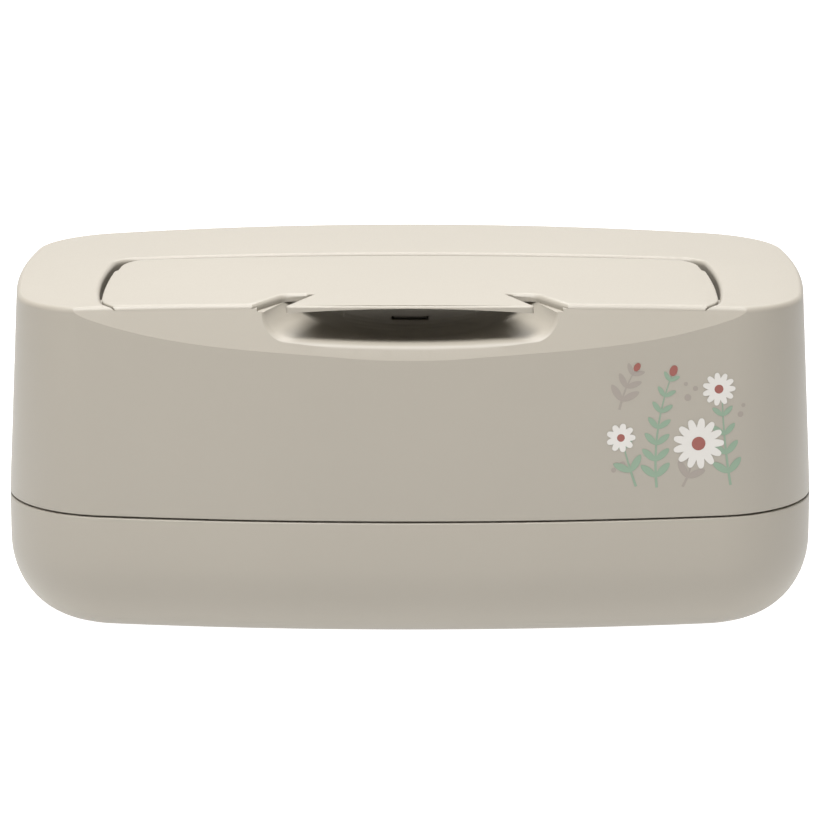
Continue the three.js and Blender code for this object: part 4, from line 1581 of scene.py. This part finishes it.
    def _notch_edge(self, side: Side) -> Solid:
        """What the large round of the flap's edge in a notch takes away.

        Args:
            side: Which notch.

        Returns:
            The solid to take away.
        """
        cover, fit = self.cover, self.cover.ledge_fit
        root = np.array([cover.tab_root_width / 2, cover.tab_root_setback])
        tip = np.array([cover.tab_front_width / 2, -cover.tab_reach])
        bend = np.array(cover.notch_bend)
        outer = np.array([cover.recess_reach + cover.notch_flare, -cover.flap_overhang])
        flank = (tip - root) / np.linalg.norm(tip - root)
        inner = root + np.array([-flank[1], flank[0]]) * self.notch_margin
        ahead = -cover.recess_corner
        corners = [
            (*(bend - fit), cover.notch_bend_round),
            (*(inner + flank * (inner[1] - bend[1]) / -flank[1]), fit),
            (*(inner + flank * (inner[1] - ahead) / -flank[1]), fit),
            (*(bend + (outer - bend) * (bend[1] - ahead) / (bend[1] - outer[1]) - fit), fit),
        ]
        plan = rounded([(x, cover.form.facet_y + y, radius) for x, y, radius in corners])
        if side is Side.LEFT:
            plan = [(-x, y) for x, y in reversed(plan)]
        return Solid.loft(cover.edge_rings(plan, self.notch_round, 1))

    def liner(self, finish: Material) -> Piece:
        """Builds the plate that carries the seal, with the ridges that guide it.

        Args:
            finish: Its material.

        Returns:
            The piece.
        """
        cover, form = self.cover, self.form
        top = form.height - self.liner_drop
        low = top - self.liner_thickness
        plan = offset(cover.opening(cover.lip_wall), self.seal_width + self.liner_margin)
        liner = Solid.pillow(plan, low, top, self.liner_edge, self.liner_edge)
        guide = self.seal_width + 2 * form.fit
        ridges = cover.opening_ring(guide + 2 * self.ridge, low - self.ridge_height, low + form.fit)
        liner.add(ridges.take(cover.opening_ring(guide, low - form.overrun, low)))
        radius, heights = self.post_radius + form.fit, (low - form.overrun, top + form.overrun)
        for x, y in self._posts():
            liner.take(Solid.upright(x, y, [(radius, z) for z in heights]))
        return liner.finished("liner", finish)

    def seal(self, finish: Material) -> Piece:
        """Builds the seal between the liner and the lip of the opening.

        Args:
            finish: Its material.

        Returns:
            The piece.
        """
        cover, form = self.cover, self.form
        low = cover.well_floor + cover.lip_height + form.fit
        high = form.height - self.liner_drop - self.liner_thickness - form.fit
        ring = Solid.band(cover.lip_line(), self.seal_width, low, high, self.seal_edge)
        return ring.finished("seal", finish)

    def dress(self, shell: Material, inner: Material, seal: Material, steel: Material) -> None:
        """Puts the flap's pieces in place.

        Args:
            shell: Material of the flap.
            inner: Material of the liner.
            seal: Material of the seal.
            steel: Material of the pins.
        """
        placed(self.panel(shell), "flap_skin", "flap", "flap_panel")
        placed(self.liner(inner), "flap_liner_skin", "flap", "flap_liner")
        placed(self.seal(seal), "flap_seal_ring", "flap", "flap_seal")
        for side in Side:
            name, pin = f"hinge_pin_{side.name.lower()}", self.cover.turned_pin(side, steel)
            placed(pin, f"{name}_skin", "flap", name)


class Ink(Enum):
    """Inks of the print, each laid over those before it."""

    TAUPE = 0
    SAGE = 1
    CREAM = 2
    TERRACOTTA = 3


def leaf(
    root: Point2, angle: float, length: float, width: float, blunt: float, steps: int = 24
) -> list[Point2]:
    """Draws a leaf or petal.

    Args:
        root: Where it grows from.
        angle: Its direction, in radians.
        length: Its length.
        width: Its width.
        blunt: Over 1 for pointed ends, less for round ones.
        steps: Stretches round it.

    Returns:
        Its outline.
    """
    along = np.array([math.cos(angle), math.sin(angle)])
    aside = np.array([along[1], -along[0]])
    return [
        tuple(
            np.array(root)
            + along * length * (1 - math.cos(turn)) / 2
            + aside * width / 2 * math.copysign(abs(math.sin(turn)) ** blunt, math.sin(turn))
        )
        for turn in np.linspace(0.0, FULL_TURN, steps + 1)[:-1]
    ]


@dataclass(frozen=True)
class Sprig:
    """A curved stem with leaves in pairs, and a leaf or a bud at its tip."""

    ink: Ink
    root: Point2
    heading: float
    bend: float
    length: float
    pairs: int
    bud: float = 0.0
    stations: int = 6
    stem_width: float = 0.75
    leaf_size: Point2 = (5.6, 2.1)
    leaf_angle: float = math.radians(48)
    leaf_shrink: float = 0.5
    tip_size: Point2 = (3.6, 1.5)
    taper: float = 0.6
    pointed: float = 1.25
    bud_width: float = 0.7
    bud_blunt: float = 0.9

    def drawn(self) -> list[tuple[Ink, list[Point2]]]:
        """Draws it, as outlines with their inks.

        Returns:
            Each outline, with its ink.
        """
        count = self.stations * self.pairs
        step = self.length / count
        turns = [math.radians(self.heading + self.bend * step * i) for i in range(count + 1)]
        line = [np.array(self.root)]
        for turn in turns[:-1]:
            line.append(line[-1] + step * np.array([math.cos(turn), math.sin(turn)]))
        half = self.stem_width / 2
        sides = [np.array([-math.sin(turn), math.cos(turn)]) * half for turn in turns]
        thin = [1 - self.taper * i / count for i in range(count + 1)]
        left = [tuple(p + side * t) for p, side, t in zip(line, sides, thin)]
        right = [tuple(p - side * t) for p, side, t in zip(line, sides, thin)]
        drawing = [(self.ink, [right[i], right[i + 1], left[i + 1], left[i]]) for i in range(count)]
        for k in range(self.pairs):
            i, share = self.stations * (k + 1) - 2, 1 - self.leaf_shrink * k / self.pairs
            size = [share * measure for measure in self.leaf_size]
            for sense in (-1, 1):
                angle = turns[i] + sense * self.leaf_angle
                drawing.append((self.ink, leaf(tuple(line[i]), angle, *size, self.pointed)))
        tip = (tuple(line[-1]), turns[-1])
        if self.bud:
            bud = leaf(*tip, self.bud, self.bud_width * self.bud, self.bud_blunt)
            drawing.append((Ink.TERRACOTTA, bud))
        else:
            drawing.append((self.ink, leaf(*tip, *self.tip_size, self.pointed)))
        return drawing


@dataclass(frozen=True)
class Daisy:
    """A daisy with a round heart."""

    middle: Point2
    reach: float
    petals: int
    petal_root: float = 0.2
    petal_width: float = 4.0
    petal_blunt: float = 0.7
    heart: float = 0.27
    heart_steps: int = 28

    def drawn(self) -> list[tuple[Ink, list[Point2]]]:
        """Draws it, as outlines with their inks.

        Returns:
            Each outline, with its ink.
        """
        length = (1 - self.petal_root) * self.reach
        width = self.petal_width * self.reach / self.petals
        drawing = []
        for k, root in enumerate(circle(self.middle, self.petal_root * self.reach, self.petals)):
            angle = FULL_TURN * k / self.petals
            drawing.append((Ink.CREAM, leaf(root, angle, length, width, self.petal_blunt)))
        heart = circle(self.middle, self.heart * self.reach, self.heart_steps)
        return [*drawing, (Ink.TERRACOTTA, heart)]


@dataclass(frozen=True)
class Berry:
    """A round berry."""

    middle: Point2
    radius: float
    steps: int = 18

    def drawn(self) -> list[tuple[Ink, list[Point2]]]:
        """Draws it, as an outline with its ink."""
        return [(Ink.TAUPE, circle(self.middle, self.radius, self.steps))]


@dataclass
class Print:
    """A generic print of daisies and sprigs on the right of the cover's front."""

    form: BoxForm
    middle: Point2 = (75.5, 66.0)
    film: float = 0.03
    layer: float = 0.0005
    cell: float = 1.5
    motifs: tuple[Sprig | Daisy | Berry, ...] = (
        Sprig(Ink.SAGE, (-4.5, -18.0), 96.0, -0.8, 33.0, 7, 3.2),
        Sprig(Ink.SAGE, (17.0, -18.0), 100.0, -0.3, 28.0, 5),
        Sprig(Ink.SAGE, (-10.5, -17.5), 110.0, -0.5, 14.0, 2),
        Sprig(Ink.TAUPE, (-15.5, 5.0), 78.0, -1.6, 12.0, 3, 2.6),
        Sprig(Ink.TAUPE, (3.0, -18.0), 62.0, 2.2, 9.0, 2),
        Daisy((7.5, -5.5), 7.4, 13),
        Daisy((13.2, 10.2), 4.8, 11),
        Daisy((-15.0, -3.2), 4.2, 9),
        Berry((4.2, 8.0), 1.0),
        Berry((6.4, 10.6), 0.75),
        Berry((3.6, 12.0), 0.6),
        Berry((-14.5, -11.0), 0.9),
        Berry((-17.0, -12.6), 0.7),
        Berry((19.6, 2.6), 0.85),
        Berry((20.4, 5.2), 0.6),
    )

    def _spot(self, u: float, v: float, proud: float) -> Point3:
        """A place of the print on the cover's front.

        Args:
            u: Place across the print.
            v: Place up the print.
            proud: How far it stands out.

        Returns:
            The place in space.
        """
        form = self.form
        x, z = self.middle[0] + u, self.middle[1] + v
        low = form.cover_bottom + form.seam_edge
        high = form.crown(x, -form.half_depth) - form.top_edge
        share = (z - low) / (high - low)
        foot, head = (np.array(form.outline(0.0, lean)) for lean in (form.lean_at(low), 1.0))
        plan = (1 - share) * foot + share * head
        front = plan[plan[:, 1] < 0]
        front = front[np.argsort(front[:, 0])]
        return x, float(np.interp(x, front[:, 0], front[:, 1])) - proud, z

    def _patch(
        self, outline: Sequence[Point2], proud: float
    ) -> tuple[list[Point3], list[Sequence[int]]]:
        """A filled outline, in rings that shrink to its middle.

        Args:
            outline: Points of a rounded form, counter-clockwise.
            proud: How far it stands out.

        Returns:
            Points and faces.
        """
        edge = np.array(outline)
        heart = edge.mean(axis=0)
        count, rings = len(edge), math.ceil(np.linalg.norm(edge - heart, axis=1).max() / self.cell)
        points = [
            self._spot(*(heart + (corner - heart) * (1 - ring / rings)), proud)
            for ring in range(rings)
            for corner in edge
        ]
        points.append(self._spot(*heart, proud))
        faces: list[Sequence[int]] = []
        for ring in range(rings):
            for i in range(count):
                here, onward = ring * count + i, ring * count + (i + 1) % count
                inner = (onward + count, here + count) if ring < rings - 1 else (len(points) - 1,)
                faces.append((here, onward, *inner))
        return points, faces

    def dress(self, inks: dict[Ink, Material]) -> None:
        """Lays the print on the cover.

        Args:
            inks: Material of each ink.
        """
        parts = (part for motif in self.motifs for part in motif.drawn())
        drawn = sorted(parts, key=lambda part: part[0].value)
        for ink, finish in inks.items():
            points: list[Point3] = []
            faces: list[Sequence[int]] = []
            for rank, (colour, outline) in enumerate(drawn):
                if colour is ink:
                    more, filled = self._patch(outline, self.film + self.layer * rank)
                    faces += [tuple(len(points) + i for i in face) for face in filled]
                    points += more
            mesh = bpy.data.meshes.new(f"print_{ink.name.lower()}")
            mesh.from_pydata([tuple(c * METRES for c in p) for p in points], [], faces)
            mesh.materials.append(finish)
            film = bpy.data.objects.new(mesh.name, mesh)
            bpy.context.scene.collection.objects.link(film)
            placed(film, mesh.name, "cover")


@dataclass(frozen=True)
class Lamp:
    """A soft square light."""

    name: str
    place: Point3
    power: float
    aim: Point3 = (0.0, 0.0, 0.05)
    size: float = 0.9
    spread: float = math.radians(140.0)

    def hang(self) -> None:
        """Hangs the lamp and turns it to its aim."""
        data = bpy.data.lights.new(self.name, "AREA")
        data.shape, data.size = "SQUARE", self.size
        data.energy, data.spread = self.power, self.spread
        made = bpy.data.objects.new(self.name, data)
        made.location = self.place
        made.rotation_mode = "QUATERNION"
        made.rotation_quaternion = (Vector(self.aim) - Vector(self.place)).to_track_quat("-Z", "Y")
        bpy.context.scene.collection.objects.link(made)


@dataclass(frozen=True)
class SkyBand:
    """A band low in the sky, with a strength of its own and soft edges along Y and Z."""

    strength: float
    ahead: Point2
    low: Point2


@dataclass
class Studio:
    """Floor, lights and camera."""

    distance: float = 1.2
    pitch: float = math.radians(13.85)
    aim: Point3 = (0.0, 0.0, 0.05)
    pixels_per_metre: float = 3300.0
    frame: float = 820.0
    shift_down: float = 18.8
    sensor: float = 36.0
    floor_size: float = 8.0
    floor_colour: float = 0.35
    floor_glow: float = 1.04
    floor_roughness: float = 0.9
    clip: Point2 = (0.05, 50.0)
    sky: float = 0.01
    sky_colour: Point3 = (0.96, 0.97, 1.0)
    back_band: SkyBand = SkyBand(0.85, (0.2, 0.7), (0.6, 0.35))
    lamps: tuple[Lamp, ...] = (
        Lamp("key_light", (-0.13, -0.45, 1.46), 24.6),
        Lamp("back_light", (0.0, 0.7, 1.3), 11.0),
        Lamp("left_light", (-1.1, -0.8, 0.75), 3.0),
        Lamp("right_light", (1.1, -0.8, 0.75), 1.6),
    )

    def camera(self) -> Piece:
        """Sets the camera at the photograph's viewing angle.

        Returns:
            The camera.
        """
        data = bpy.data.cameras.new("camera")
        data.sensor_width = self.sensor
        data.lens = self.pixels_per_metre * self.distance / self.frame * self.sensor
        data.shift_y = self.shift_down / self.frame
        made = bpy.data.objects.new("camera", data)
        back = Vector((0.0, -math.cos(self.pitch), math.sin(self.pitch)))
        made.location = Vector(self.aim) + back * self.distance
        made.rotation_mode = "QUATERNION"
        made.rotation_quaternion = (-back).to_track_quat("-Z", "Y")
        data.clip_start, data.clip_end = self.clip
        bpy.context.scene.collection.objects.link(made)
        bpy.context.scene.camera = made
        return made

    def floor(self) -> Piece:
        """Lays a plain pale floor, lit evenly from below as a light table is.

        Returns:
            The floor.
        """
        half = self.floor_size / 2
        mesh = bpy.data.meshes.new("floor")
        corners = [(-half, -half, 0), (half, -half, 0), (half, half, 0), (-half, half, 0)]
        mesh.from_pydata(corners, [], [(0, 1, 2, 3)])
        made = bpy.data.objects.new("floor", mesh)
        material = bpy.data.materials.new("pale_floor")
        material.use_nodes = True
        shader = material.node_tree.nodes["Principled BSDF"]
        shader.inputs["Base Color"].default_value = (*[self.floor_colour] * 3, 1.0)
        shader.inputs["Emission Color"].default_value = (1.0, 1.0, 1.0, 1.0)
        shader.inputs["Emission Strength"].default_value = self.floor_glow
        shader.inputs["Roughness"].default_value = self.floor_roughness
        shader.inputs["Specular IOR Level"].default_value = 0.0
        mesh.materials.append(material)
        bpy.context.scene.collection.objects.link(made)
        return made

    def light(self) -> None:
        """Lights the box with soft lamps, and with a pale band low in a dim sky behind it."""
        world = bpy.data.worlds.new("studio")
        world.use_nodes = True
        tree = world.node_tree
        sky = tree.nodes["Background"]
        sky.inputs["Color"].default_value = (*self.sky_colour, 1.0)
        place = tree.nodes.new("ShaderNodeTexCoord")
        parts = tree.nodes.new("ShaderNodeSeparateXYZ")
        tree.links.new(place.outputs["Generated"], parts.inputs["Vector"])
        share = tree.nodes.new("ShaderNodeMath")
        share.operation = "MULTIPLY"
        band = self.back_band
        for i, (axis, ends) in enumerate((("Y", band.ahead), ("Z", band.low))):
            fade = tree.nodes.new("ShaderNodeMapRange")
            fade.interpolation_type = "SMOOTHSTEP"
            fade.inputs["From Min"].default_value, fade.inputs["From Max"].default_value = ends
            tree.links.new(parts.outputs[axis], fade.inputs["Value"])
            tree.links.new(fade.outputs["Result"], share.inputs[i])
        blend = tree.nodes.new("ShaderNodeMix")
        blend.inputs["A"].default_value = self.sky
        blend.inputs["B"].default_value = band.strength
        tree.links.new(share.outputs["Value"], blend.inputs["Factor"])
        tree.links.new(blend.outputs["Result"], sky.inputs["Strength"])
        bpy.context.scene.world = world
        for lamp in self.lamps:
            lamp.hang()
        bpy.context.scene.view_settings.view_transform = "Standard"

    def build(self) -> None:
        """Builds the whole studio."""
        self.camera()
        self.floor()
        self.light()


def main() -> None:
    """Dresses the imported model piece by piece."""
    logging.basicConfig(level=logging.INFO, format="%(name)s: %(message)s")
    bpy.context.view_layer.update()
    form = BoxForm()
    shell = Finish("shell_plastic", (0.290, 0.264, 0.221), 0.48).material()
    inner = Finish("inner_plastic", (0.50, 0.46, 0.39), 0.46).material()
    seal = Finish("soft_seal", (0.34, 0.32, 0.28), 0.7, grain_depth=0.00002).material()
    rubber = Finish("foot_rubber", (0.20, 0.18, 0.155), 0.8, grain_depth=0.00003).material()
    steel = Finish("pin_steel", (0.55, 0.56, 0.57), 0.3, metallic=1.0, brushed=20.0).material()
    inks = {
        Ink.TAUPE: Finish("ink_taupe", (0.244, 0.213, 0.185), 0.5).material(),
        Ink.SAGE: Finish("ink_sage", (0.18, 0.25, 0.18), 0.5).material(),
        Ink.CREAM: Finish("ink_cream", (0.495, 0.476, 0.445), 0.5).material(),
        Ink.TERRACOTTA: Finish("ink_terracotta", (0.222, 0.067, 0.053), 0.5).material(),
    }
    base, cover = Base(form), Cover(form)
    base.dress(shell, rubber, seal)
    Plate(form, base).dress(inner, steel)
    cover.dress(shell)
    Flap(form, cover).dress(shell, inner, seal, steel)
    Print(form).dress(inks)
    Studio().build()


if __name__ == "__main__":
    main()
